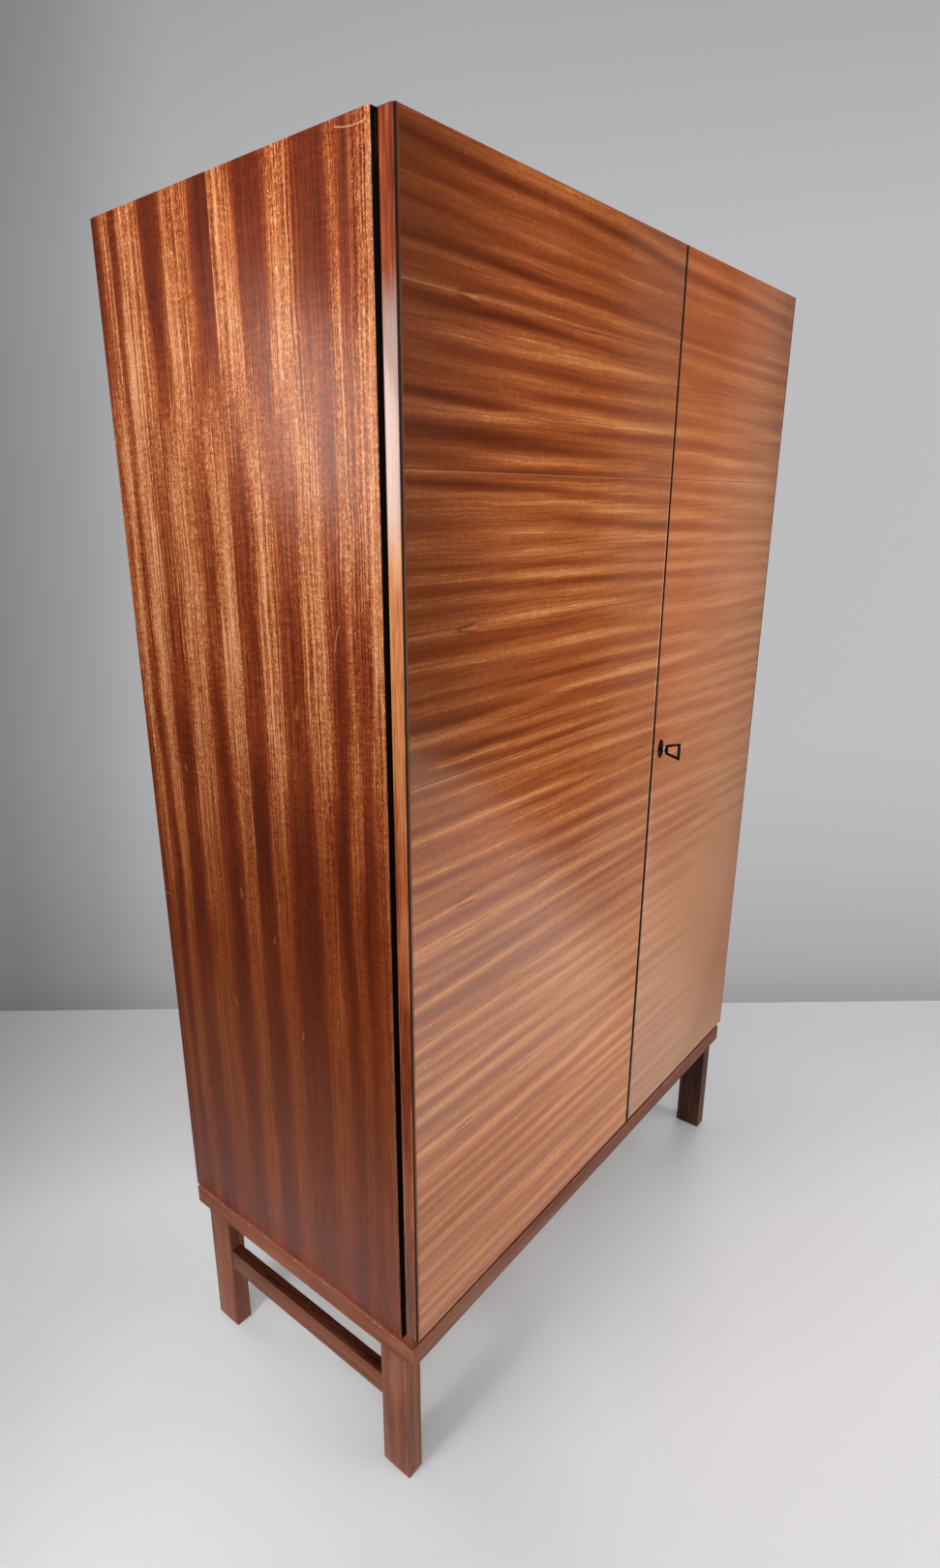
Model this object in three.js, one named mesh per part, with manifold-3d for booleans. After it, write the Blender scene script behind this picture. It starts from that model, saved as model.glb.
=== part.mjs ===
// A two-door wardrobe: a veneered case on a mitred rail frame with four square legs and two side
// stretchers. The doors hang on cranked pivot hinges, the right one locks into the left one, and
// two slide bolts hold the left one. Millimetres, +Z up, doors towards -Y. While the pieces are
// shaped, x starts at the left side's outer face, y at the doors' faces and z at the floor.
import * as THREE from "three";
import { mergeVertices } from "three/addons/utils/BufferGeometryUtils.js";
import Module from "manifold-3d";

// Case.
const CASE_WIDTH = 1084;
const CASE_DEPTH = 496;
const CASE_HEIGHT = 1522.5;
const SIDE_THICKNESS = 22;
const BOARD_THICKNESS = 20;
const PARTITION_THICKNESS = 18;
const BACK_THICKNESS = 6;
const BACK_REBATE = 10;
const SIDE_EDGE_RADIUS = 2;

// Doors.
const DOOR_THICKNESS = 23;
const DOOR_TO_CASE = 9;
const DOOR_TOP_MARGIN = 5.5;
const DOOR_BOTTOM_MARGIN = 17;
const LEFT_DOOR_WIDTH = 626.75;
const DOOR_TO_DOOR = 2.5;
const LIPPING = 5;
const LIPPING_QUIRK = 1.25;
const LIPPING_RADIUS = 3;

// Base.
const BASE_HEIGHT = 272.5;
const RAIL_HEIGHT = 34;
const RAIL_WIDTH = 45;
const RAIL_SIDE_OVERHANG = 4;
const RAIL_FRONT_SETBACK = 5.5;
const RAIL_REAR_SETBACK = 6;
const LEG_WIDTH = 30;
const LEG_DEPTH = 53;
const LEG_SIDE_INSET = 1.5;
const LEG_FRONT_INSET = 14;
const LEG_REAR_INSET = 29;
const STRETCHER_HEIGHT = 40;
const STRETCHER_THICKNESS = 21;
const STRETCHER_FROM_FLOOR = 134;
const STRETCHER_INSET = 1;

// Fittings inside.
const SHELF_THICKNESS = 18;
const SHELF_COUNT = 4;
const SHELF_SETBACK = 26;
const HOUSING_DEPTH = 6;
const HAT_SPACE = 230;
const CLEAT_WIDTH = 14;
const CLEAT_HEIGHT = 24;
const CLEAT_SETBACK = 20;
const ROD_RADIUS = 11;
const ROD_BELOW_SHELF = 58;
const SOCKET_WALL = 2.5;
const SOCKET_DEPTH = 14;
const SOCKET_PLATE = 3;
const SOCKET_FLANGE = 10;

// Door stops.
const STOP_CLEARANCE = 0.3;
const MEETING_POST_WIDTH = 24;
const STOP_FROM_CORNER = 44;
const STOP_TOP_HEIGHT = 16;

// Pivot hinges.
const PIVOT_X = 13;
const PIVOT_Y = 13;
const PIVOT_RADIUS = 3;
const PIVOT_DEPTH = 12;
const PIVOT_CLEARANCE = 0.35;
const BRACKET_THICKNESS = 3;
const BRACKET_WIDTH = 10;
const BRACKET_LEAF = 42;
const WASHER_THICKNESS = 1.2;
const WASHER_RADIUS = 5;
const BRACKET_TO_DOOR = 1.5;
const DOOR_PLATE_THICKNESS = 3;
const DOOR_PLATE_LENGTH = 42;
const DOOR_PLATE_WIDTH = 12;
const DOOR_PLATE_EDGE = 6.5;

// Lock, key and keep.
const KEY_FROM_MEETING = 29;
const KEY_FROM_DOOR_FOOT = 747;
const KEY_SHAFT_RADIUS = 2.5;
const KEYHOLE_CLEARANCE = 0.5;
const KEY_BIT_REACH = 8;
const KEY_BIT_WIDTH = 2.5;
const KEY_BIT_LENGTH = 5;
const KEY_COLLAR_RADIUS = 4.5;
const KEY_COLLAR_LENGTH = 3;
const KEY_NECK = 10;
const KEY_REACH = 36;
const BOW_NARROW = 16;
const BOW_WIDE = 30;
const BOW_BAR = 4;
const BOW_THICKNESS = 3;
const ESCUTCHEON_WIDTH = 18;
const ESCUTCHEON_HEIGHT = 33;
const ESCUTCHEON_THICKNESS = 1.5;
const LOCK_LENGTH = 46;
const LOCK_HEIGHT = 58;
const LOCK_DEPTH = 11.5;
const LOCK_COVER = 1.5;
const LOCK_WALL = 1.5;
const KEY_ABOVE_LOCK_FOOT = 24;
const LOCK_BOLT_HEIGHT = 12;
const LOCK_BOLT_THICKNESS = 6;
const LOCK_BOLT_LENGTH = 38;
const LOCK_BOLT_ABOVE_KEY = 10;
const LOCK_BOLT_THROW = 9;
const SLIDE_CLEARANCE = 0.3;
const KEEP_THICKNESS = 1.5;
const KEEP_HEIGHT = 40;
const KEEP_WIDTH = 11;
const KEEP_POCKET = 12;

// Slide bolts behind the left door.
const BOLT_FROM_MEETING = 45;
const BOLT_WIDTH = 8;
const BOLT_THICKNESS = 5;
const BOLT_TAIL = 16;
const BOLT_THROW = 12;
const BOLT_BEHIND_CASE_FRONT = 6;
const BOLT_TIP_GAP = 2;
const BOLT_NECK_RISE = 12;
const BOLT_TIP_LENGTH = 26;
const BOLT_KNOB_RADIUS = 5;
const BOLT_KNOB_LENGTH = 9;
const GUIDE_PLATE_THICKNESS = 1.75;
const GUIDE_PLATE_WIDTH = 26;
const STAPLE_THICKNESS = 2.5;
const STAPLE_HEIGHT = 10;

const ROUND_SIDES = 24;
const FILLET_STEPS = 4;

// Planes that several pieces share.
const CASE_FRONT = DOOR_THICKNESS + DOOR_TO_CASE;
const CASE_REAR = CASE_FRONT + CASE_DEPTH;
const CASE_TOP = BASE_HEIGHT + CASE_HEIGHT;
const INNER_LEFT = SIDE_THICKNESS;
const INNER_RIGHT = CASE_WIDTH - SIDE_THICKNESS;
const INNER_FOOT = BASE_HEIGHT + BOARD_THICKNESS;
const INNER_TOP = CASE_TOP - BOARD_THICKNESS;
const INNER_REAR = CASE_REAR - BACK_THICKNESS;
const DOOR_FOOT = BASE_HEIGHT + DOOR_BOTTOM_MARGIN;
const DOOR_TOP = CASE_TOP - DOOR_TOP_MARGIN;
const MEETING_X = LEFT_DOOR_WIDTH + DOOR_TO_DOOR / 2;
const RIGHT_DOOR_START = LEFT_DOOR_WIDTH + DOOR_TO_DOOR;
const PARTITION_LEFT = MEETING_X - PARTITION_THICKNESS / 2;
const PARTITION_RIGHT = MEETING_X + PARTITION_THICKNESS / 2;
const STOP_FRONT = DOOR_THICKNESS + STOP_CLEARANCE;
const RAIL_FOOT = BASE_HEIGHT - RAIL_HEIGHT;
const SHELF_FRONT = CASE_FRONT + SHELF_SETBACK;
const HAT_SHELF_TOP = INNER_TOP - HAT_SPACE;
const HAT_SHELF_FOOT = HAT_SHELF_TOP - SHELF_THICKNESS;
const BOTTOM_LUG_TOP = DOOR_FOOT - BRACKET_TO_DOOR;
const TOP_LUG_FOOT = DOOR_TOP + BRACKET_TO_DOOR;
const KEY_X = MEETING_X + KEY_FROM_MEETING;
const KEY_Z = DOOR_FOOT + KEY_FROM_DOOR_FOOT;
const KEYHOLE_RADIUS = KEY_SHAFT_RADIUS + KEYHOLE_CLEARANCE;
const MIDDLE_Y = (CASE_REAR - KEY_REACH) / 2;

const wasm = await Module();
wasm.setup();

const wardrobe = new THREE.Group();
wardrobe.name = "wardrobe";
wardrobe.position.set(-CASE_WIDTH / 2, -MIDDLE_Y, 0);

const finishes = {
  side_veneer: { color: 0xa3603a, roughness: 0.42 },
  door_veneer: { color: 0xa4643c, roughness: 0.4 },
  lipping: { color: 0x8a4c34, roughness: 0.45 },
  base_wood: { color: 0x6f4030, roughness: 0.5 },
  inside_wood: { color: 0xb98556, roughness: 0.6 },
  back_ply: { color: 0xa97b50, roughness: 0.7 },
  black_edge: { color: 0x120c0a, roughness: 0.7 },
  black_iron: { color: 0x17130f, roughness: 0.45, metalness: 0.6 },
  steel: { color: 0x8d8d8a, roughness: 0.4, metalness: 1 },
  brass: { color: 0xb08d4a, roughness: 0.35, metalness: 1 },
};

// Puts a finished shape into the wardrobe under its name.
function place(name, finish, geometry) {
  const material = new THREE.MeshStandardMaterial(finishes[finish]);
  const mesh = new THREE.Mesh(geometry, material);
  mesh.name = name;
  wardrobe.add(mesh);
}

// Moves each vertex of a geometry to where a function of its coordinates says.
function reshape(geometry, map) {
  const position = geometry.attributes.position;
  for (let i = 0; i < position.count; i += 1) {
    position.setXYZ(i, ...map(position.getX(i), position.getY(i), position.getZ(i)));
  }
  geometry.computeVertexNormals();
  return geometry;
}

// A box between two values on each axis.
function block([x0, x1], [y0, y1], [z0, z1]) {
  return reshape(new THREE.BoxGeometry(1, 1, 1), (x, y, z) => [
    x < 0 ? x0 : x1,
    y < 0 ? y0 : y1,
    z < 0 ? z0 : z1,
  ]);
}

// An outline drawn on the plane across an axis, extended from one value on that axis to another.
// Across Z it is drawn in (x, y), across X in (y, z) and across Y in (z, x).
function prism(axis, outline, [from, to]) {
  const solid = new THREE.ExtrudeGeometry(outline, { depth: 1, bevelEnabled: false, curveSegments: 6 });
  return reshape(solid, (u, v, w) => {
    const along = w < 0.5 ? from : to;
    if (axis === "x") return [along, u, v];
    if (axis === "y") return [v, along, u];
    return [u, v, along];
  });
}

// A closed outline through points.
function polygon(points) {
  return new THREE.Shape(points.map(([u, v]) => new THREE.Vector2(u, v)));
}

// Points on an arc, from one angle to another, in degrees.
function arc([u, v], radius, from, to, steps) {
  return Array.from({ length: steps + 1 }, (_, i) => {
    const angle = THREE.MathUtils.degToRad(from + ((to - from) * i) / steps);
    return [u + radius * Math.cos(angle), v + radius * Math.sin(angle)];
  });
}

// A round bar or a hole across an axis.
function round(axis, centre, radius, span) {
  return prism(axis, polygon(arc(centre, radius, 0, 360, ROUND_SIDES).slice(0, -1)), span);
}

function solidOf(geometry) {
  const bare = geometry.clone();
  bare.deleteAttribute("normal");
  bare.deleteAttribute("uv");
  const merged = mergeVertices(bare, 1e-4);
  return new wasm.Manifold(
    new wasm.Mesh({
      numProp: 3,
      vertProperties: new Float32Array(merged.attributes.position.array),
      triVerts: new Uint32Array(merged.index.array),
    }),
  );
}

function geometryOf(solid) {
  const mesh = solid.getMesh();
  const geometry = new THREE.BufferGeometry();
  geometry.setAttribute("position", new THREE.BufferAttribute(mesh.vertProperties, 3));
  geometry.setIndex(new THREE.BufferAttribute(mesh.triVerts, 1));
  geometry.computeVertexNormals();
  return geometry;
}

function joined(...geometries) {
  return geometryOf(geometries.map(solidOf).reduce((whole, next) => whole.add(next)));
}

function cut(geometry, ...tools) {
  return geometryOf(tools.map(solidOf).reduce((rest, tool) => rest.subtract(tool), solidOf(geometry)));
}

// The left and right hands of a piece: a value measured in from that side's outer face.
const hands = {
  left: { fromEdge: (distance) => distance, sign: 1 },
  right: { fromEdge: (distance) => CASE_WIDTH - distance, sign: -1 },
};

// Two values in rising order, whichever hand made them.
function span(a, b) {
  return [Math.min(a, b), Math.max(a, b)];
}

// An outline given from the outer face inwards, laid out for either hand.
function handed(hand, points) {
  const laid = points.map(([distance, y]) => [hand.fromEdge(distance), y]);
  return polygon(hand.sign > 0 ? laid : laid.reverse());
}

const shelfPitch = (INNER_TOP - INNER_FOOT - SHELF_COUNT * SHELF_THICKNESS) / (SHELF_COUNT + 1);
const shelves = Array.from({ length: SHELF_COUNT }, (_, i) => {
  const foot = INNER_FOOT + (i + 1) * shelfPitch + i * SHELF_THICKNESS;
  return {
    name: `shelf_${i + 1}`,
    across: [PARTITION_RIGHT - HOUSING_DEPTH, INNER_RIGHT + HOUSING_DEPTH],
    deep: [SHELF_FRONT, INNER_REAR],
    high: [foot, foot + SHELF_THICKNESS],
  };
});
const shelfHousings = shelves.map(({ across, deep, high }) => block(across, deep, high));

// The cranked bracket of a pivot hinge: a leaf let into the side's front edge, a lug that reaches
// over or under the door, and the pin on it. "up" is the way the pin points.
const pivots = {
  bottom: {
    up: 1,
    lug: [BOTTOM_LUG_TOP - BRACKET_THICKNESS, BOTTOM_LUG_TOP],
    pin: [BOTTOM_LUG_TOP, BOTTOM_LUG_TOP + PIVOT_DEPTH],
    plate: [DOOR_FOOT, DOOR_FOOT + DOOR_PLATE_THICKNESS],
    bore: [DOOR_FOOT + DOOR_PLATE_THICKNESS, DOOR_FOOT + PIVOT_DEPTH],
  },
  top: {
    up: -1,
    lug: [TOP_LUG_FOOT, TOP_LUG_FOOT + BRACKET_THICKNESS],
    pin: [TOP_LUG_FOOT - PIVOT_DEPTH, TOP_LUG_FOOT],
    plate: [DOOR_TOP - DOOR_PLATE_THICKNESS, DOOR_TOP],
    bore: [DOOR_TOP - PIVOT_DEPTH, DOOR_TOP - DOOR_PLATE_THICKNESS],
  },
};

// The bottom leaf reaches up from its lug, and the top one down.
function leafOf(hand, pivot) {
  const [foot, top] = pivot.lug;
  const middle = hand.fromEdge(PIVOT_X);
  return {
    across: [middle - BRACKET_WIDTH / 2, middle + BRACKET_WIDTH / 2],
    deep: [CASE_FRONT, CASE_FRONT + BRACKET_THICKNESS],
    high: pivot.up > 0 ? [foot, foot + BRACKET_LEAF] : [top - BRACKET_LEAF, top],
  };
}

function lugOf(hand, pivot) {
  const middle = hand.fromEdge(PIVOT_X);
  const half = BRACKET_WIDTH / 2;
  const nose = arc([middle, PIVOT_Y], half, 180, 360, ROUND_SIDES / 2);
  const rear = CASE_FRONT + BRACKET_THICKNESS;
  const outline = polygon([...nose, [middle + half, rear], [middle - half, rear]]);
  return prism("z", outline, pivot.lug);
}

// Case sides: a flat panel with a softened outer front edge and a rebate for the back.
for (const [side, hand] of Object.entries(hands)) {
  const corner = [SIDE_EDGE_RADIUS, CASE_FRONT + SIDE_EDGE_RADIUS];
  const plan = [
    ...arc(corner, SIDE_EDGE_RADIUS, 180, 270, FILLET_STEPS),
    [SIDE_THICKNESS, CASE_FRONT],
    [SIDE_THICKNESS, INNER_REAR],
    [SIDE_THICKNESS - BACK_REBATE, INNER_REAR],
    [SIDE_THICKNESS - BACK_REBATE, CASE_REAR],
    [0, CASE_REAR],
  ];
  const recesses = Object.values(pivots).map((pivot) => {
    const leaf = leafOf(hand, pivot);
    return block(leaf.across, leaf.deep, leaf.high);
  });
  const housings = side === "right" ? shelfHousings : [];
  const panel = prism("z", handed(hand, plan), [BASE_HEIGHT, CASE_TOP]);
  place(`side_panel_${side}`, "side_veneer", cut(panel, ...recesses, ...housings));
}

// Top and bottom boards between the sides, each with a mortise for its slide bolt.
const BOLT_X = LEFT_DOOR_WIDTH - BOLT_FROM_MEETING;
const BOLT_TIP_FRONT = CASE_FRONT + BOLT_BEHIND_CASE_FRONT;
const BOLT_TIP_REAR = BOLT_TIP_FRONT + BOLT_THICKNESS;
const mortise = {
  across: [BOLT_X - BOLT_WIDTH / 2 - SLIDE_CLEARANCE, BOLT_X + BOLT_WIDTH / 2 + SLIDE_CLEARANCE],
  deep: [BOLT_TIP_FRONT - SLIDE_CLEARANCE, BOLT_TIP_REAR + SLIDE_CLEARANCE],
};
const boards = {
  bottom_board: { high: [BASE_HEIGHT, INNER_FOOT], mortised: [INNER_FOOT - BOLT_THROW, INNER_FOOT + 1] },
  top_board: { high: [INNER_TOP, CASE_TOP], mortised: [INNER_TOP - 1, INNER_TOP + BOLT_THROW] },
};
for (const [name, { high, mortised }] of Object.entries(boards)) {
  const board = block([INNER_LEFT, INNER_RIGHT], [CASE_FRONT, INNER_REAR], high);
  place(name, "inside_wood", cut(board, block(mortise.across, mortise.deep, mortised)));
}

const partition = block([PARTITION_LEFT, PARTITION_RIGHT], [CASE_FRONT, INNER_REAR], [INNER_FOOT, INNER_TOP]);
place("centre_partition", "inside_wood", cut(partition, ...shelfHousings));

const backAcross = [INNER_LEFT - BACK_REBATE, INNER_RIGHT + BACK_REBATE];
place("back_panel", "back_ply", block(backAcross, [INNER_REAR, CASE_REAR], [BASE_HEIGHT, CASE_TOP]));

// Shelves on the right sit in housings cut into the side and the partition.
for (const { name, across, deep, high } of shelves) {
  place(name, "inside_wood", block(across, deep, high));
}

// Hat shelf on the left, on a cleat at each end.
place(
  "hat_shelf",
  "inside_wood",
  block([INNER_LEFT, PARTITION_LEFT], [SHELF_FRONT, INNER_REAR], [HAT_SHELF_FOOT, HAT_SHELF_TOP]),
);
const cleats = {
  hat_shelf_cleat_left: [INNER_LEFT, INNER_LEFT + CLEAT_WIDTH],
  hat_shelf_cleat_right: [PARTITION_LEFT - CLEAT_WIDTH, PARTITION_LEFT],
};
const cleatHigh = [HAT_SHELF_FOOT - CLEAT_HEIGHT, HAT_SHELF_FOOT];
for (const [name, across] of Object.entries(cleats)) {
  place(name, "inside_wood", block(across, [SHELF_FRONT + CLEAT_SETBACK, INNER_REAR], cleatHigh));
}

// Clothes rod along x, in a cup at each end.
const ROD_Y = (SHELF_FRONT + INNER_REAR) / 2;
const ROD_Z = HAT_SHELF_FOOT - ROD_BELOW_SHELF;
const CUP_BORE = ROD_RADIUS + SLIDE_CLEARANCE;
const CUP_OUTER = CUP_BORE + SOCKET_WALL;
const cups = {
  rod_socket_left: { wall: INNER_LEFT, inward: 1 },
  rod_socket_right: { wall: PARTITION_LEFT, inward: -1 },
};
for (const [name, { wall, inward }] of Object.entries(cups)) {
  const plateFace = wall + inward * SOCKET_PLATE;
  const mouth = wall + inward * SOCKET_DEPTH;
  const flange = round("x", [ROD_Y, ROD_Z], CUP_OUTER + SOCKET_FLANGE, span(wall, plateFace));
  const collar = round("x", [ROD_Y, ROD_Z], CUP_OUTER, span(wall, mouth));
  const bore = round("x", [ROD_Y, ROD_Z], CUP_BORE, span(plateFace, mouth + inward));
  place(name, "brass", cut(joined(flange, collar), bore));
}
const rodInset = SOCKET_PLATE + SLIDE_CLEARANCE;
place(
  "clothes_rod",
  "brass",
  round("x", [ROD_Y, ROD_Z], ROD_RADIUS, [INNER_LEFT + rodInset, PARTITION_LEFT - rodInset]),
);

// Blackened strips on the case front that the doors close against.
const postAcross = [MEETING_X - MEETING_POST_WIDTH / 2, MEETING_X + MEETING_POST_WIDTH / 2];
const stopDeep = [STOP_FRONT, CASE_FRONT];
place("meeting_post", "black_edge", block(postAcross, stopDeep, [BASE_HEIGHT, CASE_TOP - DOOR_TOP_MARGIN]));
const stopAcross = {
  left: [STOP_FROM_CORNER, postAcross[0]],
  right: [postAcross[1], CASE_WIDTH - STOP_FROM_CORNER],
};
const stopHigh = {
  bottom: [BASE_HEIGHT, INNER_FOOT],
  top: [DOOR_TOP - STOP_TOP_HEIGHT + BOLT_TIP_GAP, DOOR_TOP],
};
for (const [end, high] of Object.entries(stopHigh)) {
  for (const [side, across] of Object.entries(stopAcross)) {
    place(`stop_strip_${end}_${side}`, "black_edge", block(across, stopDeep, high));
  }
}

// Base frame: four rails mitred at the corners.
const frameLeft = -RAIL_SIDE_OVERHANG;
const frameRight = CASE_WIDTH + RAIL_SIDE_OVERHANG;
const frameFront = RAIL_FRONT_SETBACK;
const frameRear = CASE_REAR - RAIL_REAR_SETBACK;
const outer = [
  [frameLeft, frameFront],
  [frameRight, frameFront],
  [frameRight, frameRear],
  [frameLeft, frameRear],
];
const inner = [
  [frameLeft + RAIL_WIDTH, frameFront + RAIL_WIDTH],
  [frameRight - RAIL_WIDTH, frameFront + RAIL_WIDTH],
  [frameRight - RAIL_WIDTH, frameRear - RAIL_WIDTH],
  [frameLeft + RAIL_WIDTH, frameRear - RAIL_WIDTH],
];
["base_rail_front", "base_rail_right", "base_rail_rear", "base_rail_left"].forEach((name, i) => {
  const next = (i + 1) % outer.length;
  const plan = polygon([outer[i], outer[next], inner[next], inner[i]]);
  place(name, "base_wood", prism("z", plan, [RAIL_FOOT, BASE_HEIGHT]));
});
place(
  "base_centre_bearer",
  "base_wood",
  block(
    [MEETING_X - RAIL_WIDTH / 2, MEETING_X + RAIL_WIDTH / 2],
    [frameFront + RAIL_WIDTH, frameRear - RAIL_WIDTH],
    [RAIL_FOOT, BASE_HEIGHT],
  ),
);

// Legs under the frame, and a stretcher between the two legs of each side.
const legOuter = LEG_SIDE_INSET - RAIL_SIDE_OVERHANG;
const frontLegFace = frameFront + LEG_FRONT_INSET;
const rearLegFace = frameRear - LEG_REAR_INSET;
const legDeep = {
  front: [frontLegFace, frontLegFace + LEG_DEPTH],
  rear: [rearLegFace - LEG_DEPTH, rearLegFace],
};
for (const [side, hand] of Object.entries(hands)) {
  const legAcross = span(hand.fromEdge(legOuter), hand.fromEdge(legOuter + LEG_WIDTH));
  for (const [end, deep] of Object.entries(legDeep)) {
    place(`leg_${end}_${side}`, "base_wood", block(legAcross, deep, [0, RAIL_FOOT]));
  }
  const face = legOuter + STRETCHER_INSET;
  place(
    `stretcher_${side}`,
    "base_wood",
    block(
      span(hand.fromEdge(face), hand.fromEdge(face + STRETCHER_THICKNESS)),
      [legDeep.front[1], legDeep.rear[0]],
      [STRETCHER_FROM_FLOOR, STRETCHER_FROM_FLOOR + STRETCHER_HEIGHT],
    ),
  );
}

// Pivot hinges: brackets and thrust washers on the case, plates let into the doors' ends.
const pinBore = PIVOT_RADIUS + PIVOT_CLEARANCE;
const doorCuts = { left: [], right: [] };
for (const [side, hand] of Object.entries(hands)) {
  const centre = [hand.fromEdge(PIVOT_X), PIVOT_Y];
  for (const [end, pivot] of Object.entries(pivots)) {
    const leaf = leafOf(hand, pivot);
    const bracket = joined(
      block(leaf.across, leaf.deep, leaf.high),
      lugOf(hand, pivot),
      round("z", centre, PIVOT_RADIUS, pivot.pin),
    );
    place(`pivot_bracket_${end}_${side}`, "black_iron", bracket);

    const plateEdge = hand.fromEdge(DOOR_PLATE_EDGE);
    const plate = block(
      span(plateEdge, plateEdge + hand.sign * DOOR_PLATE_LENGTH),
      [PIVOT_Y - DOOR_PLATE_WIDTH / 2, PIVOT_Y + DOOR_PLATE_WIDTH / 2],
      pivot.plate,
    );
    const through = [pivot.plate[0] - 1, pivot.plate[1] + 1];
    place(`pivot_plate_${end}_${side}`, "steel", cut(plate, round("z", centre, pinBore, through)));
    doorCuts[side].push(plate, round("z", centre, pinBore, [pivot.bore[0], pivot.bore[1] + 1]));
  }
  const washerHigh = [BOTTOM_LUG_TOP, BOTTOM_LUG_TOP + WASHER_THICKNESS];
  const washer = cut(
    round("z", centre, WASHER_RADIUS, washerHigh),
    round("z", centre, pinBore, [washerHigh[0] - 1, washerHigh[1] + 1]),
  );
  place(`pivot_washer_${side}`, "steel", washer);
}

// The keyhole's outline in (z, x): a round hole with a slot below it for the bit.
function keyhole(deep) {
  const slotHalf = KEY_BIT_WIDTH / 2 + KEYHOLE_CLEARANCE;
  const reach = KEY_BIT_REACH + KEYHOLE_CLEARANCE;
  return joined(
    round("y", [KEY_Z, KEY_X], KEYHOLE_RADIUS, deep),
    block([KEY_X - slotHalf, KEY_X + slotHalf], deep, [KEY_Z - reach, KEY_Z]),
  );
}

// Lock let into the back of the right door, between its lipping and the key.
const lockFront = DOOR_THICKNESS - LOCK_DEPTH - LOCK_COVER;
const lockRear = DOOR_THICKNESS - LOCK_COVER;
const lockLeft = RIGHT_DOOR_START + LIPPING;
const lockFoot = KEY_Z - KEY_ABOVE_LOCK_FOOT;
const lockBox = {
  across: [lockLeft, lockLeft + LOCK_LENGTH],
  deep: [lockFront, lockRear],
  high: [lockFoot, lockFoot + LOCK_HEIGHT],
};
const boltFoot = KEY_Z + LOCK_BOLT_ABOVE_KEY;
const boltMiddleY = (lockFront + LOCK_WALL + lockRear) / 2;
const boltDeep = [boltMiddleY - LOCK_BOLT_THICKNESS / 2, boltMiddleY + LOCK_BOLT_THICKNESS / 2];
const boltHigh = [boltFoot, boltFoot + LOCK_BOLT_HEIGHT];
const boltTip = RIGHT_DOOR_START + SLIDE_CLEARANCE;
const boltWay = {
  deep: [boltDeep[0] - SLIDE_CLEARANCE, boltDeep[1] + SLIDE_CLEARANCE],
  high: [boltHigh[0] - SLIDE_CLEARANCE, boltHigh[1] + SLIDE_CLEARANCE],
};
const lockCase = cut(
  block(lockBox.across, lockBox.deep, lockBox.high),
  block(
    [lockBox.across[0] + LOCK_WALL, lockBox.across[1] - LOCK_WALL],
    [lockBox.deep[0] + LOCK_WALL, lockBox.deep[1] + 1],
    [lockBox.high[0] + LOCK_WALL, lockBox.high[1] - LOCK_WALL],
  ),
  block([lockLeft - 1, lockLeft + LOCK_WALL + 1], boltWay.deep, boltWay.high),
  keyhole([lockFront - 1, lockFront + LOCK_WALL + 1]),
);
place("lock_case", "steel", lockCase);
place("lock_cover", "steel", block(lockBox.across, [lockRear, DOOR_THICKNESS], lockBox.high));
place("lock_bolt", "brass", block([boltTip, boltTip + LOCK_BOLT_LENGTH], boltDeep, boltHigh));

const keepFace = LEFT_DOOR_WIDTH;
const keepBox = {
  across: [keepFace - KEEP_THICKNESS, keepFace],
  deep: [boltMiddleY - KEEP_WIDTH / 2, boltMiddleY + KEEP_WIDTH / 2],
  high: [boltFoot + (LOCK_BOLT_HEIGHT - KEEP_HEIGHT) / 2, boltFoot + (LOCK_BOLT_HEIGHT + KEEP_HEIGHT) / 2],
};
const keepBlank = block(keepBox.across, keepBox.deep, keepBox.high);
const keepPocket = block([keepFace - KEEP_POCKET, keepFace + 1], boltWay.deep, boltWay.high);
place("keep_plate", "brass", cut(keepBlank, keepPocket));

// Escutcheon: an oval plate on the right door's face.
const oval = new THREE.Shape();
oval.absellipse(KEY_Z, KEY_X, ESCUTCHEON_HEIGHT / 2, ESCUTCHEON_WIDTH / 2, 0, 2 * Math.PI);
const ovalPoints = oval.getPoints(ROUND_SIDES / 2).slice(0, -1);
const escutcheonDeep = [-ESCUTCHEON_THICKNESS, 0];
const escutcheon = prism("y", new THREE.Shape(ovalPoints), escutcheonDeep);
place("escutcheon", "black_iron", cut(escutcheon, keyhole([escutcheonDeep[0] - 1, escutcheonDeep[1] + 1])));

// Key: shaft and bit in the lock, a collar, and an open bow that widens away from the door.
const bitRear = lockRear - SLIDE_CLEARANCE;
const bowNear = -KEY_NECK;
const bowOutline = polygon([
  [-KEY_REACH, KEY_Z - BOW_WIDE / 2],
  [bowNear, KEY_Z - BOW_NARROW / 2],
  [bowNear, KEY_Z + BOW_NARROW / 2],
  [-KEY_REACH, KEY_Z + BOW_WIDE / 2],
]);
const bowSlope = (BOW_WIDE - BOW_NARROW) / 2 / (KEY_REACH - KEY_NECK);
const bowHoleHalf = (y) => BOW_NARROW / 2 + bowSlope * (bowNear - y) - BOW_BAR * Math.hypot(1, bowSlope);
const holeNear = bowNear - BOW_BAR;
const holeFar = BOW_BAR - KEY_REACH;
const bowHole = polygon([
  [holeFar, KEY_Z - bowHoleHalf(holeFar)],
  [holeNear, KEY_Z - bowHoleHalf(holeNear)],
  [holeNear, KEY_Z + bowHoleHalf(holeNear)],
  [holeFar, KEY_Z + bowHoleHalf(holeFar)],
]);
const bowAcross = [KEY_X - BOW_THICKNESS / 2, KEY_X + BOW_THICKNESS / 2];
const bow = cut(
  prism("x", bowOutline, bowAcross),
  prism("x", bowHole, [bowAcross[0] - 1, bowAcross[1] + 1]),
);
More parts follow.
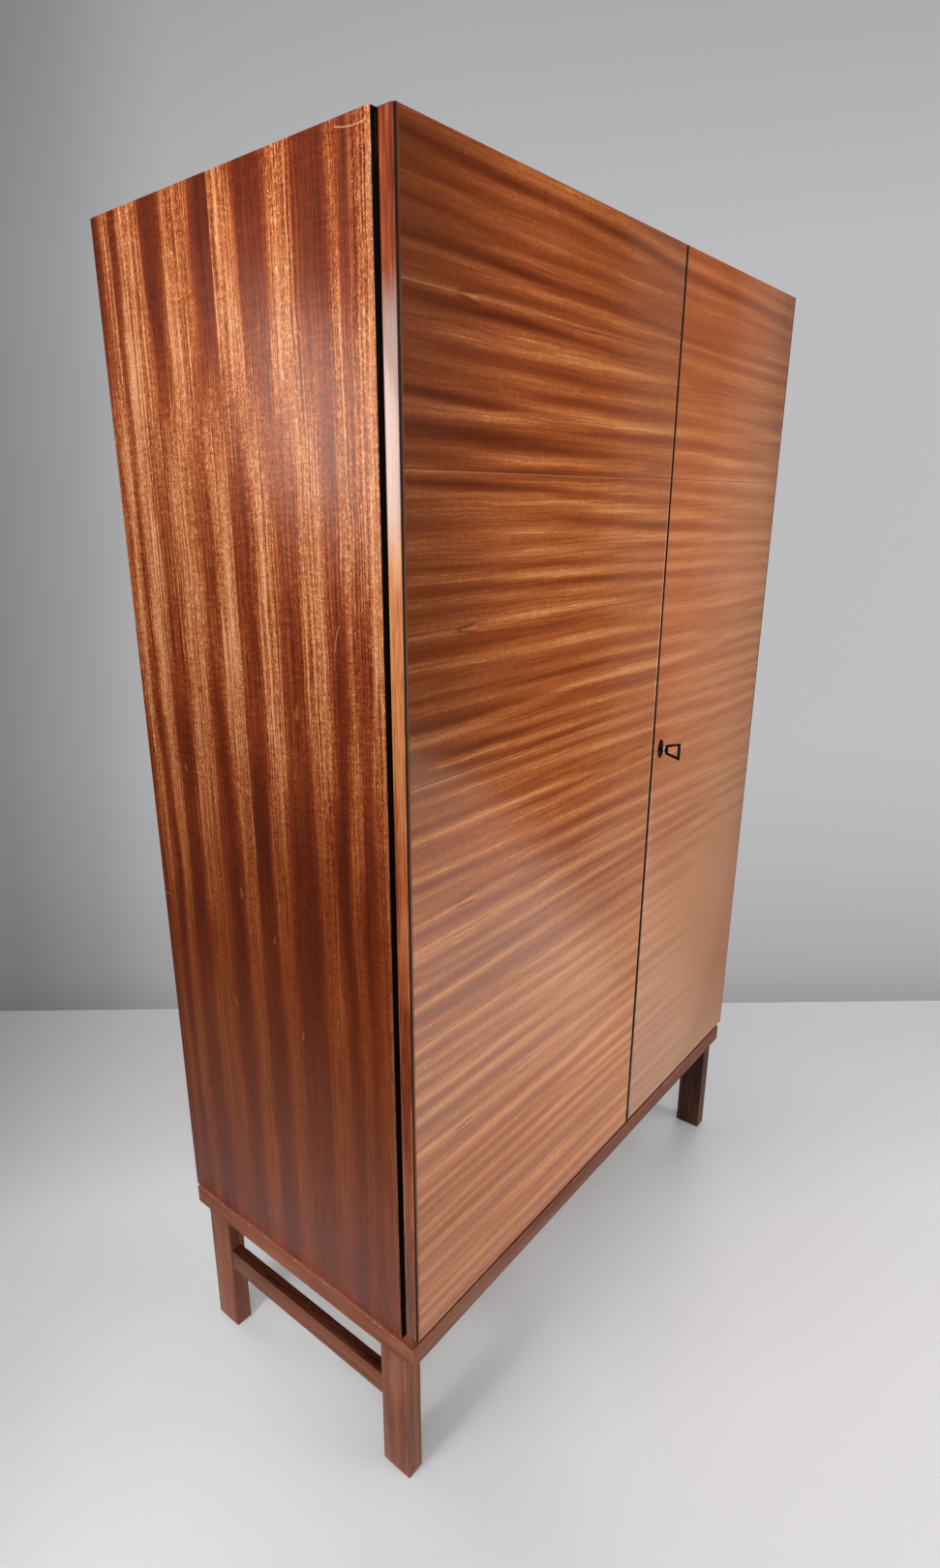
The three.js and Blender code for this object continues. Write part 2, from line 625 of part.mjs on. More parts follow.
const key = joined(
  round("y", [KEY_Z, KEY_X], KEY_SHAFT_RADIUS, [bowNear - BOW_BAR / 2, bitRear]),
  round("y", [KEY_Z, KEY_X], KEY_COLLAR_RADIUS, [bowNear, bowNear + KEY_COLLAR_LENGTH]),
  block(
    [KEY_X - KEY_BIT_WIDTH / 2, KEY_X + KEY_BIT_WIDTH / 2],
    [bitRear - KEY_BIT_LENGTH, bitRear],
    [KEY_Z - KEY_BIT_REACH, KEY_Z],
  ),
  bow,
);
place("key", "black_iron", key);

// Doors: a veneered panel between a lipping on the hinge side and one on the meeting side.
const doorHigh = [DOOR_FOOT, DOOR_TOP];
const doorDeep = [0, DOOR_THICKNESS];
const hingeLippingPlan = [
  [LIPPING_QUIRK, 0],
  [LIPPING, 0],
  [LIPPING, DOOR_THICKNESS],
  ...arc([LIPPING_RADIUS, DOOR_THICKNESS - LIPPING_RADIUS], LIPPING_RADIUS, 90, 180, FILLET_STEPS),
  [0, LIPPING_QUIRK],
  [LIPPING_QUIRK, LIPPING_QUIRK],
];
for (const [side, hand] of Object.entries(hands)) {
  place(`door_${side}_hinge_lipping`, "lipping", prism("z", handed(hand, hingeLippingPlan), doorHigh));
}
place(
  "door_left_panel",
  "door_veneer",
  cut(block([LIPPING, LEFT_DOOR_WIDTH - LIPPING], doorDeep, doorHigh), ...doorCuts.left, keepPocket),
);
place(
  "door_left_meeting_lipping",
  "lipping",
  cut(block([LEFT_DOOR_WIDTH - LIPPING, LEFT_DOOR_WIDTH], doorDeep, doorHigh), keepBlank, keepPocket),
);
place(
  "door_right_panel",
  "door_veneer",
  cut(
    block([lockLeft, CASE_WIDTH - LIPPING], doorDeep, doorHigh),
    ...doorCuts.right,
    block(lockBox.across, [lockFront, DOOR_THICKNESS + 1], lockBox.high),
    keyhole([-1, lockFront + 1]),
  ),
);
place(
  "door_right_meeting_lipping",
  "lipping",
  cut(
    block([RIGHT_DOOR_START, lockLeft], doorDeep, doorHigh),
    block([RIGHT_DOOR_START - 1, lockLeft + 1], boltWay.deep, boltWay.high),
  ),
);

// Slide bolts on the back of the left door. The flat bar is necked back so that its tip stands
// behind the case's front edge, and it runs in a plate with two staples. "way" is where it shoots.
const boltAcross = [BOLT_X - BOLT_WIDTH / 2, BOLT_X + BOLT_WIDTH / 2];
const plateRear = DOOR_THICKNESS + GUIDE_PLATE_THICKNESS;
const barFront = plateRear + SLIDE_CLEARANCE;
const barRear = barFront + BOLT_THICKNESS;
const stapleRear = barRear + SLIDE_CLEARANCE + STAPLE_THICKNESS;
const stapleInner = [boltAcross[0] - SLIDE_CLEARANCE, boltAcross[1] + SLIDE_CLEARANCE];
const stapleOuter = [stapleInner[0] - STAPLE_THICKNESS, stapleInner[1] + STAPLE_THICKNESS];
// Distances from the board's face along the bar. The knob runs between the two staples.
const neckEnd = BOLT_TIP_GAP + BOLT_TIP_LENGTH;
const neckStart = neckEnd + BOLT_NECK_RISE;
const guideStart = neckStart + BOLT_THROW + SLIDE_CLEARANCE;
const knobRoom = BOLT_KNOB_RADIUS + SLIDE_CLEARANCE;
const guideLength = 2 * (STAPLE_HEIGHT + knobRoom) + BOLT_THROW;
const barEnd = guideStart + guideLength + BOLT_TAIL;
for (const [end, way, face] of [
  ["bottom", -1, INNER_FOOT],
  ["top", 1, INNER_TOP],
]) {
  const at = (distance) => face - way * distance;
  const side = [
    [barFront, at(barEnd)],
    [barRear, at(barEnd)],
    [barRear, at(neckStart)],
    [BOLT_TIP_REAR, at(neckEnd)],
    [BOLT_TIP_REAR, at(BOLT_TIP_GAP)],
    [BOLT_TIP_FRONT, at(BOLT_TIP_GAP)],
    [BOLT_TIP_FRONT, at(neckEnd)],
    [barFront, at(neckStart)],
  ];
  const knobAt = at(guideStart + STAPLE_HEIGHT + BOLT_THROW + knobRoom);
  const knob = round("y", [knobAt, BOLT_X], BOLT_KNOB_RADIUS, [barRear - 1, barRear + BOLT_KNOB_LENGTH]);
  const bar = prism("x", polygon(way < 0 ? side : side.reverse()), boltAcross);
  place(`slide_bolt_${end}`, "brass", joined(bar, knob));

  const guidePlate = block(
    [BOLT_X - GUIDE_PLATE_WIDTH / 2, BOLT_X + GUIDE_PLATE_WIDTH / 2],
    [DOOR_THICKNESS, plateRear],
    span(at(guideStart), at(guideStart + guideLength)),
  );
  const bridges = [guideStart, guideStart + guideLength - STAPLE_HEIGHT].map((start) => {
    const high = span(at(start), at(start + STAPLE_HEIGHT));
    const loose = [high[0] - 1, high[1] + 1];
    return cut(
      block(stapleOuter, [plateRear - 1, stapleRear], high),
      block(stapleInner, [plateRear, barRear + SLIDE_CLEARANCE], loose),
    );
  });
  place(`bolt_guide_${end}`, "brass", joined(guidePlate, ...bridges));
}

export default wardrobe;
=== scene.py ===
import math

import bmesh
import bpy
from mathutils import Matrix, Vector


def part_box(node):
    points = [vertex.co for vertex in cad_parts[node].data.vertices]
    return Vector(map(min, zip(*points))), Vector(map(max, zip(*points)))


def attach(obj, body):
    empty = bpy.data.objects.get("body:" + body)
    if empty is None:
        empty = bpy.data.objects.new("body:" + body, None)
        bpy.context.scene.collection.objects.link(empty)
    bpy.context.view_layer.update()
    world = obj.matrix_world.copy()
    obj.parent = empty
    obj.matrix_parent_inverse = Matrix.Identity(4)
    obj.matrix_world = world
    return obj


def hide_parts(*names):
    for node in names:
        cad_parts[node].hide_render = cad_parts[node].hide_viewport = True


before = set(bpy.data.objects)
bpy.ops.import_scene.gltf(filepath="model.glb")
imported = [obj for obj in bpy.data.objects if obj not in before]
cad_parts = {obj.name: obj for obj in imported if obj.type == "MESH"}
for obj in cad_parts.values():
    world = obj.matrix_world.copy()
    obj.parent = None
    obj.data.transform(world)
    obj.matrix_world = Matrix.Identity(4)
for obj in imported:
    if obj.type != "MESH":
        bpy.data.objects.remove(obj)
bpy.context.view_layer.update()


# Camera. It stands close to the front left corner, a little above the middle of the doors, and
# looks slightly down, so that the left side, both doors and all but one of the legs are in view.
camera_place = (-1.2585, -0.8830, 1.4303)
camera_turns = (72.167, 0.725, -49.584)


def placed(name, data):
    """A new object in the scene."""
    made = bpy.data.objects.new(name, data)
    bpy.context.scene.collection.objects.link(made)
    return made


camera_lens = bpy.data.cameras.new("camera")
camera_lens.lens = 20.11
camera_lens.shift_x = 0.0308
camera_lens.shift_y = 0.0059
camera = placed("camera", camera_lens)
camera.location = camera_place
camera.rotation_euler = [math.radians(turn) for turn in camera_turns]
bpy.context.scene.camera = camera


# Legs, stretchers and rails. The real base is a stained hardwood frame: four square-edged legs, a
# stretcher tenoned between the two legs of each side, and four rails mitred round the top. Its
# arrises show a little wear and its varnish is thin. Shade and light are painted into it: the front
# and rear rails, the stretchers, the front faces of the left legs, the stretcher tops and the two
# right legs are darker copies of the wood for painted shade, and the side rails a lighter copy for
# painted light.
class Wire:
    """One output of a finish's node. Sums written with it add Math nodes to that finish."""

    def __init__(self, finish, socket):
        self.finish = finish
        self.socket = socket

    def sum(self, operation, *values):
        return self.finish.node("ShaderNodeMath", {"operation": operation}, dict(enumerate(values)))

    def smooth(self, low, high):
        """0 below low and 1 above high, or the other way round where low is the higher one."""
        values = {"Value": self, "From Min": low, "From Max": high}
        return self.finish.node("ShaderNodeMapRange", {"interpolation_type": "SMOOTHSTEP"}, values)

    def __add__(self, other):
        return self.sum("ADD", self, other)

    __radd__ = __add__

    def __sub__(self, other):
        return self.sum("SUBTRACT", self, other)

    def __rsub__(self, other):
        return self.sum("SUBTRACT", other, self)

    def __mul__(self, other):
        return self.sum("MULTIPLY", self, other)

    __rmul__ = __mul__

    def __truediv__(self, other):
        return self.sum("DIVIDE", self, other)

    def __rtruediv__(self, other):
        return self.sum("DIVIDE", other, self)

    def __abs__(self):
        return self.sum("ABSOLUTE", self)

    def __gt__(self, other):
        return self.sum("GREATER_THAN", self, other)


def tint(code):
    """A colour written as six hex digits, as the linear red, green, blue and alpha of a socket."""
    channels = [int(code[i : i + 2], 16) / 255 for i in (0, 2, 4)]
    return (*[c / 12.92 if c <= 0.04045 else ((c + 0.055) / 1.055) ** 2.4 for c in channels], 1.0)


class Finish:
    """A material, and the ways in which its nodes are made. Lengths in it are in millimetres."""

    def __init__(self, name):
        self.material = bpy.data.materials.new(name)
        self.material.use_nodes = True
        self.nodes = self.material.node_tree.nodes
        self.links = self.material.node_tree.links
        self.nodes.clear()

    def node(self, kind, settings=None, values=None, output=0):
        """A node of that kind: its settings are set first, then the values or wires of its sockets."""
        made = self.nodes.new(kind)
        holder = made.color_ramp if kind == "ShaderNodeValToRGB" else made
        for name, setting in (settings or {}).items():
            if name == "stops":
                holder.elements.remove(holder.elements[1])
                holder.elements[0].position, holder.elements[0].color = setting[0]
                for position, colour in setting[1:]:
                    holder.elements.new(position).color = colour
            else:
                setattr(holder, name, setting)
        for name, value in (values or {}).items():
            if isinstance(value, Wire):
                self.links.new(value.socket, made.inputs[name])
            else:
                made.inputs[name].default_value = tint(value) if isinstance(value, str) else value
        return Wire(self, made.outputs[output]) if made.outputs else None

    def place(self):
        """Where a point of the piece is, along x, y and z."""
        spot = self.node("ShaderNodeTexCoord", output="Object")
        apart = self.node("ShaderNodeSeparateXYZ", values={"Vector": spot}).socket.node
        return [Wire(self, apart.outputs[axis]) * 1000 for axis in "XYZ"]

    def noise(self, steps, detail=2.0, roughness=0.5, distortion=0.0):
        """Noise about 0.5. Its steps are places divided by the size of a grain along each axis."""
        spot = self.node("ShaderNodeCombineXYZ", values=dict(enumerate(steps)))
        values = {"Vector": spot, "Scale": 1.0, "Detail": detail, "Roughness": roughness}
        values["Distortion"] = distortion
        return self.node("ShaderNodeTexNoise", values=values)

    def ramp(self, value, stops, interpolation="LINEAR"):
        """Stops are places from 0 to 1, each with a colour code or a colour."""
        stops = [(at, tint(shade) if isinstance(shade, str) else shade) for at, shade in stops]
        settings = {"interpolation": interpolation, "stops": stops}
        return self.node("ShaderNodeValToRGB", settings, {"Fac": value})

    def mix(self, factor, first, second, blend="MIX"):
        settings = {"data_type": "RGBA", "blend_type": blend}
        return self.node("ShaderNodeMix", settings, {0: factor, 6: first, 7: second}, output=2)

    def surface(self, colour, roughness, relief=None, depth=0.0, **fixed):
        """Ends the finish in one shader. Relief is a height from 0 to 1, and depth its size."""
        values = {"Base Color": colour, "Roughness": roughness}
        values.update({name.replace("_", " "): value for name, value in fixed.items()})
        if relief is not None:
            bump = {"Height": relief, "Distance": depth / 1000}
            values["Normal"] = self.node("ShaderNodeBump", values=bump)
        shader = self.node("ShaderNodeBsdfPrincipled", values=values)
        self.node("ShaderNodeOutputMaterial", values={"Surface": shader})
        return self.material


def solid_wood(name, grain, shades, gloss=0.38, chips=0.0, **fixed):
    """Straight-grained hardwood under thin varnish. Grain is the axis that it runs along, and chips
    is how strongly its small pale bruises show."""
    finish = Finish(name)
    spot = dict(zip("xyz", finish.place()))
    along = spot.pop(grain)
    across, through = spot.values()
    sway = finish.noise((along / 260, across / 70, through / 70)) * 16
    rings = finish.noise(((across + sway) / 8, (through + sway) / 11, along / 600), 3.0, 0.6)
    fibres = finish.noise((across / 1.3, through / 1.3, along / 38), 3.0, 0.6)
    cloud = finish.noise((across / 60, through / 60, along / 150), 2.0)
    pores = finish.noise((across / 0.6, through / 0.6, along / 9), 1.0).smooth(0.6, 0.7)
    shade = (rings - 0.5) * 1.5 + (fibres - 0.5) * 0.9 + (cloud - 0.5) * 0.9 + 0.5
    colour = finish.ramp(shade, zip((0.1, 0.5, 0.9), shades))
    colour = finish.mix(pores * 0.45, colour, "2c120c")
    if chips:
        bruise = finish.noise((across / 5, through / 5, along / 9), 2.0).smooth(0.63, 0.68)
        colour = finish.mix(bruise * chips, colour, "e0a878")
    rough = gloss + (fibres - 0.5) * 0.25 + (cloud - 0.5) * 0.15
    return finish.surface(colour, rough, fibres - pores * 0.5, 0.06, **fixed)


sharp = math.radians(35)
nearly_flat = math.radians(0.5)
same_point = 1e-6
meeting_points = 1e-5


def eased(node, body, radius, finishes, choose=None, arris=-1, segments=3, shortest=0.008):
    """A shown copy of a CAD node: its flat faces are joined and its long arrises rounded.

    choose gives each face the number of its finish, arris is the number for the roundings, and
    an edge shorter than shortest keeps its arris sharp."""
    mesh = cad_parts[node].data.copy()
    mesh.name = node + "_shown"
    shape = bmesh.new()
    shape.from_mesh(mesh)
    bmesh.ops.remove_doubles(shape, verts=shape.verts, dist=same_point)
    bmesh.ops.dissolve_limit(shape, angle_limit=nearly_flat, verts=shape.verts, edges=shape.edges)
    shape.normal_update()
    weight = shape.edges.layers.float.new("bevel_weight_edge")
    for edge in shape.edges:
        if edge.calc_face_angle(0.0) > sharp:
            edge.smooth = edge.calc_length() > shortest
            edge[weight] = float(edge.smooth)
    for face in shape.faces:
        face.smooth = True
        face.material_index = choose(face) if choose else 0
    mesh.materials.clear()
    for finish in finishes:
        mesh.materials.append(finish)
    shape.to_mesh(mesh)
    shape.free()
    piece = placed(node + "_shown", mesh)
    rounding = piece.modifiers.new("rounded arrises", "BEVEL")
    rounding.width = radius
    rounding.segments = segments
    rounding.limit_method = "WEIGHT"
    rounding.harden_normals = True
    rounding.material = arris
    joining = piece.modifiers.new("points that meet", "WELD")
    joining.merge_threshold = meeting_points
    cutting = piece.modifiers.new("many-sided faces in triangles", "TRIANGULATE")
    cutting.min_vertices = 5
    cutting.keep_custom_normals = True
    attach(piece, body)
    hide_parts(node)
    return piece


base_shades = ("56291b", "7c4633", "9b6650")
base_rubbed_shades = ("70402c", "8f5a43", "ab7b63")
# A darker copy of the wood: painted shade for the front and rear rails, the stretchers and the front
# faces of the left legs.
shaded_front_shades = ("4d2518", "703d2c", "8b5b47")
# A lighter copy of the wood: painted light for the side rails and the centre bearer.
lit_outer_shades = ("602f1f", "8b4f3b", "ae735a")
base_arris_shades = ("24100a", "42221a", "653e30")
# A darker copy of the wood: painted shade for the two right legs.
shaded_leg_shades = ("26110b", "422119", "61392b")
rail_x = solid_wood("base_wood_x", "x", shaded_front_shades, Specular_IOR_Level=0.3)
rail_x_rubbed = solid_wood("base_wood_rubbed_x", "x", base_rubbed_shades, 0.45, 0.5)
rail_y = solid_wood("base_wood_y", "y", lit_outer_shades, Specular_IOR_Level=0.3)
stretcher_wood = solid_wood("base_wood_stretcher", "y", shaded_front_shades, Specular_IOR_Level=0.3)
rail_y_rubbed = solid_wood("base_wood_rubbed_y", "y", base_rubbed_shades, 0.45, 0.9)
leg_wood = solid_wood("base_wood_z", "z", base_shades, Specular_IOR_Level=0.3)
shaded_front_leg_wood = solid_wood("base_wood_shaded_front_z", "z", shaded_front_shades, Specular_IOR_Level=0.3)
leg_arris = solid_wood("base_wood_arris_z", "z", base_arris_shades, 0.45)
shaded_leg_wood = solid_wood("base_wood_shaded_z", "z", shaded_leg_shades, Specular_IOR_Level=0.3)
# Painted shade on the tops of the stretchers, under the case.
shaded_top_wood = solid_wood("base_wood_shaded_top_y", "y", ("220c07", "3d180e", "60301f"), 0.3)


def shaded_above(face):
    """The upper face, which takes the painted shade, 2 and all others 0."""
    return 2 if face.normal.z > 0.9 else 0


def shaded_ahead(face):
    """The front face, which takes the painted shade, 2 and all others 0."""
    return 2 if face.normal.y < -0.9 else 0


rail_arris = 0.0009
leg_rounding = 0.001
for name in ("base_rail_front", "base_rail_rear"):
    eased(name, "case", rail_arris, [rail_x, rail_x_rubbed], arris=1)
for name in ("base_rail_left", "base_rail_right", "base_centre_bearer"):
    eased(name, "case", rail_arris, [rail_y, rail_y_rubbed], arris=1)
stretcher_finishes = [stretcher_wood, leg_arris, shaded_top_wood]
left_leg_finishes = [leg_wood, leg_arris, shaded_front_leg_wood]
right_leg_finishes = [shaded_leg_wood, leg_arris, shaded_leg_wood]
for side, leg_finishes in (("left", left_leg_finishes), ("right", right_leg_finishes)):
    name = "stretcher_" + side
    eased(name, "case", leg_rounding, stretcher_finishes, shaded_above, arris=1)
    for end in ("front", "rear"):
        eased(f"leg_{end}_{side}", "case", leg_rounding, leg_finishes, shaded_ahead, arris=1)


# Sides. Each is a board faced outside with two leaves of striped sapele, opened like a book about
# an upright joint, so that a stripe that is light in one leaf is dark in the other. The front edge
# is stained black behind the door gap, and the inside has the pale veneer of the shelves. Light and
# shade are painted into the outer veneer: it is lighter from the middle up and darker towards the
# top edge and the foot, its foot is greyed by a painted reflection of the floor, and its front
# arris is lighter with wear and a painted highlight.
side_joint = 39
side_leaf_width = 250
leaf_stripes_below = [
    (0, 0.62), (6, 0.8), (30, 0.92), (40, 0.3), (52, 0.12), (68, 0.2), (78, 0.75), (98, 0.7),
    (118, 0.9), (130, 0.25), (160, 0.12), (168, 0.6), (180, 1.0), (190, 0.7), (197, 0.2), (206, 0.25),
    (214, 0.85), (224, 0.6), (236, 0.2), (250, 0.3),
]
leaf_stripes_above = [
    (0, 0.1), (18, 0.05), (38, 0.15), (50, 0.75), (72, 0.95), (92, 0.8), (102, 0.15), (118, 0.05),
    (132, 0.2), (140, 0.8), (165, 1.0), (188, 0.85), (196, 0.15), (203, 0.3), (210, 0.9), (220, 0.8),
    (230, 0.2), (250, 0.1),
]
side_shades = [
    (0.0, "5a2110"), (0.16, "732d15"), (0.32, "903e1b"), (0.48, "b0592a"), (0.64, "ca713c"),
    (0.8, "de8c52"), (1.0, "f4b888"),
]
pips = [
    (205, 1394, 1.0), (98, 1196, 1.0), (147, 1080, 0.7), (38, 910, 0.9), (24, 852, 0.6), (72, 716, 0.8),
]
scratches = [
    ((-166, 1788), (-210, 1784), 0.5),
    ((-95, 1640), (-104, 1612), 0.4),
    ((-146, 1306), (-138, 1274), 0.45),
    ((262, 850), (284, 847), 0.45),
]


def grey(stops, span):
    """Stops of a grey ramp from places along a span and shades from 0 to 1."""
    return [(place / span, (shade, shade, shade, 1.0)) for place, shade in stops]


def veneer_figure(finish, across, along, stripe, strength, flecked, fleck_length):
    """The fine figure of sapele over its broad stripes: streaks and hairs along the grain, curled
    flecks that catch the light, and short ripples across. Gives the shade, pores and streaks."""
    wander = finish.noise((across / 45, along / 130, 11.0), 2.0) * 9
    streaks = finish.noise(((across + wander) / 3.4, along / 380, 3.0), 3.0, 0.6)
    hairs = finish.noise(((across + wander) / 1.1, along / 120, 9.0), 1.0)
    curl = finish.noise((across / 4.6, along / fleck_length, 5.0), 1.5, 0.5, 1.4)
    flecks = abs(curl - 0.5).smooth(0.06, 0.0)
    ripple = finish.noise((across / 24, along / 5.0, 7.0), 2.0, 0.5, 0.4)
    lively = stripe.smooth(0.15, 0.75) * 0.75 + 0.25
    shade = stripe + (streaks - 0.5) * strength * lively * 1.1 + (hairs - 0.5) * strength * lively * 0.7
    shade = shade + (flecks - 0.3) * flecked * lively + (ripple - 0.5) * strength * 0.2
    pores = finish.noise((across / 0.6, along / 8, 1.0), 1.0).smooth(0.6, 0.7)
    return shade, pores, streaks


def side_veneer():
    finish = Finish("side_veneer")
    x, y, z = finish.place()
    offset = y - side_joint
    rear_leaf = offset > 0.0
    bend = finish.noise((abs(offset) / 85, z / 420, 2.0), 2.0) * 34 - 17
    tremble = finish.noise((abs(offset) / 14, z / 70, 6.0), 2.0) * 7 - 3.5
    from_joint = abs(offset) + bend + tremble
    across = from_joint / side_leaf_width
    low = finish.ramp(across, grey(leaf_stripes_below, side_leaf_width), "B_SPLINE")
    high = finish.ramp(across, grey(leaf_stripes_above, side_leaf_width), "B_SPLINE")
    lift = (z + bend * 5).smooth(1430, 1650)
    leaf = low * (1 - lift) + high * lift
    stripe = leaf * rear_leaf + (1 - leaf) * (1 - rear_leaf)
    strength = (z.smooth(600, 1180) * 0.62 + 0.33) * (1 - y.smooth(60, -120) * 0.2)
    strength = strength * (1 - z.smooth(1300, 1500) * 0.12)
    cloud = finish.noise((y / 90, z / 260, 4.0), 2.0)
    # Painted light and shade: lighter from the middle up, darker towards the top edge and the foot,
    # darker in the front middle and lighter in the rear middle.
    painted_light_level = z.smooth(830, 1300) * 0.32 - z.smooth(1450, 1760) * 0.19 + 0.36
    painted_light_level = painted_light_level + z.smooth(900, 600) * 0.06 - z.smooth(520, 300) * 0.13
    painted_shade_front_middle = y.smooth(160, -60) * z.smooth(1400, 1250) * z.smooth(850, 1000)
    painted_light_rear_middle = y.smooth(-60, 120) * z.smooth(1080, 1260) * z.smooth(1640, 1500)
    painted_light_level = painted_light_level - painted_shade_front_middle * 0.12 + painted_light_rear_middle * 0.07 - z.smooth(1610, 1690) * 0.08
    stripe = (stripe - 0.5) * strength + painted_light_level + (cloud - 0.5) * strength * 0.7
    lively = z.smooth(620, 1250) * 0.65 + 0.35
    shade, pores, streaks = veneer_figure(finish, y, z, stripe, lively * 2.1, lively * 0.6, 8.5)
    colour = finish.ramp(shade * 0.8, side_shades)
    joint = abs(offset).smooth(0.9, 0.2)
    colour = finish.mix(joint * 0.45, colour, "4a2013")
    hair_bend = finish.noise((y / 9, z / 14, 8.0), 2.0)
    for distance, height, size in pips:
        aside = (abs(offset) - distance + (streaks - 0.5) * 6) / (3.2 * size)
        below = (z - height + (hair_bend - 0.5) * 12) / (6 * size)
        core = aside * aside + below * below
        swirl = (aside - 1.2) * (aside - 1.2) * 0.6 + (below + 0.8) * (below + 0.8) * 0.25
        colour = finish.mix(swirl.smooth(1.1, 0.3) * 0.4, colour, "cf8550")
        colour = finish.mix(core.smooth(1.0, 0.2) * 0.7, colour, "4a1b10")
    for (y_from, z_from), (y_to, z_to), strength in scratches:
        length = math.hypot(y_to - y_from, z_to - z_from)
        run_y, run_z = (y_to - y_from) / length, (z_to - z_from) / length
        along = (y - y_from) * run_y + (z - z_from) * run_z
        bow = (along / length) * (1 - along / length) * 10
        aside = abs((y - y_from) * run_z - (z - z_from) * run_y + bow)
        ends = along.smooth(-1.0, 3.0) * along.smooth(length + 1, length - 3)
        line = aside.smooth(1.1, 0.3) * ends
        colour = finish.mix(line * strength, colour, "e8b48c")
    # Painted reflection: the foot is greyed as if the pale floor were mirrored in it.
    colour = finish.mix(z.smooth(560, 330) * 0.13, colour, "786e78")
    colour = finish.mix(pores * 0.35, colour, "3a150b")
    # The front arris is lighter in patches: rubbed wear and a painted highlight.
    front_wear_and_highlight = y.smooth(-206, -213) * finish.noise((y / 3, z / 22, x / 3)).smooth(0.42, 0.6)
    colour = finish.mix(front_wear_and_highlight * 0.35, colour, "cf9468")
    rough = 0.26 + (streaks - 0.5) * 0.12 + (cloud - 0.5) * 0.1
    return finish.surface(colour, rough, streaks * 0.5 - pores, 0.03)


def inside_veneer(name, grain):
    """The pale, quiet veneer inside the wardrobe, with hardly any varnish on it."""
    finish = Finish(name)
    spot = dict(zip("xyz", finish.place()))
    along = spot.pop(grain)
    across, through = spot.values()
    sway = finish.noise((along / 300, across / 90, through / 90)) * 30
    bands = finish.noise(((across + sway) / 26, (through + sway) / 26, along / 900), 3.0, 0.55)
    fibres = finish.noise((across / 1.4, through / 1.4, along / 55), 3.0, 0.6)
    flecks = finish.noise((across / 1.1, through / 1.1, along / 12), 1.0).smooth(0.6, 0.68)
    shade = (bands - 0.5) * 1.3 + (fibres - 0.5) * 0.7 + 0.5
    stops = [(0.1, "ab7a4e"), (0.5, "c2935f"), (0.9, "d6ab78")]
    colour = finish.ramp(shade, stops)
    colour = finish.mix(flecks * 0.35, colour, "8f6039")
    return finish.surface(colour, 0.5 + (fibres - 0.5) * 0.2, fibres - flecks * 0.6, 0.05)


def black_stain():
    """Black stain rubbed into wood: nearly even, with the grain just showing and a dull surface."""
    finish = Finish("black_edge")
    x, y, z = finish.place()
    grain = finish.noise((x / 1.5, y / 1.5, z / 50), 3.0, 0.6)
    colour = finish.ramp(grain, [(0.3, "040202"), (0.7, "120b08")])
    return finish.surface(colour, 0.7 + (grain - 0.5) * 0.3, grain, 0.05, Specular_IOR_Level=0.2)


lipping_shades = ("5c2617", "8a4630", "b4745a")
side_finishes = [
    side_veneer(),
    inside_veneer("inside_veneer_z", "z"),
    black_stain(),
    solid_wood("lipping_z", "z", lipping_shades, 0.3),
]
black_finish = side_finishes[2]
lipping_finish = side_finishes[3]
half_width = 542
near_outer_face = 0.0015
recess_floor = -0.2105
for side, outward in (("left", -1), ("right", 1)):
    outer_x = half_width / 1000 * outward

    def side_face(face):
        """The outer face with its rounded corner 0, the inner face 1, the front edge with its
        recesses 2, and the other edges 3."""
        centre = face.calc_center_median()
        if face.normal.x * outward > 0.5 and abs(centre.x - outer_x) < near_outer_face:
            return 0
        if face.normal.y < -0.5 or centre.y < recess_floor:
            return 2
        if face.normal.x * outward < -0.5:
            return 1
        return 3

    eased("side_panel_" + side, "case", 0.0006, side_finishes, side_face)


# Top, bottom, partition and back. The boards and the partition are veneered inside like the
# shelves, and the top is stained brown above. The back is raw plywood, pinned into the rebates
# of the sides.
top_shades = ("5a2c18", "7a4226", "9a6040")
top_stain = solid_wood("top_stain", "x", top_shades, 0.42)
boards_finishes = [inside_veneer("inside_veneer_x", "x"), top_stain]
just_under_top = 1.79


def above_all(face):
    """The upper face of the top 1, all other faces 0."""
    return 1 if face.normal.z > 0.9 and face.calc_center_median().z > just_under_top else 0


longer_than_mortise = 0.02
for name, choose in (("top_board", above_all), ("bottom_board", None)):
    eased(name, "case", 0.0004, boards_finishes, choose, shortest=longer_than_mortise)
eased("centre_partition", "case", 0.0006, [side_finishes[1]])


def raw_plywood():
    """Rotary-cut birch: wide flame figure up the sheet, a few small knots, and no varnish."""
    finish = Finish("back_ply")
    x, y, z = finish.place()
    sway = finish.noise((x / 150, z / 1500, 3.0), 2.0, 0.4) * 330
    rings = x.sum("PINGPONG", x * 0.5 + sway + z * 0.03, 15.0)
    flame = rings.smooth(0.0, 15.0)
    fibres = finish.noise((x / 1.6, y / 1.6, z / 46), 3.0, 0.6)
    cloud = finish.noise((x / 240, y / 240, z / 400), 2.0)
    shade = flame * 0.2 + (fibres - 0.5) * 0.8 + (cloud - 0.5) * 0.6 + 0.4
    colour = finish.ramp(shade, [(0.1, "95663f"), (0.5, "bd8c60"), (0.9, "d9b086")])
    spread = finish.node("ShaderNodeCombineXYZ", values={0: x / 240, 1: 0.5, 2: z / 330})
    knots = finish.node("ShaderNodeTexVoronoi", values={"Vector": spread, "Scale": 1.0})
    colour = finish.mix(knots.smooth(0.06, 0.025) * 0.8, colour, "5c3a20")
    return finish.surface(colour, 0.62 + (fibres - 0.5) * 0.2, fibres, 0.08)


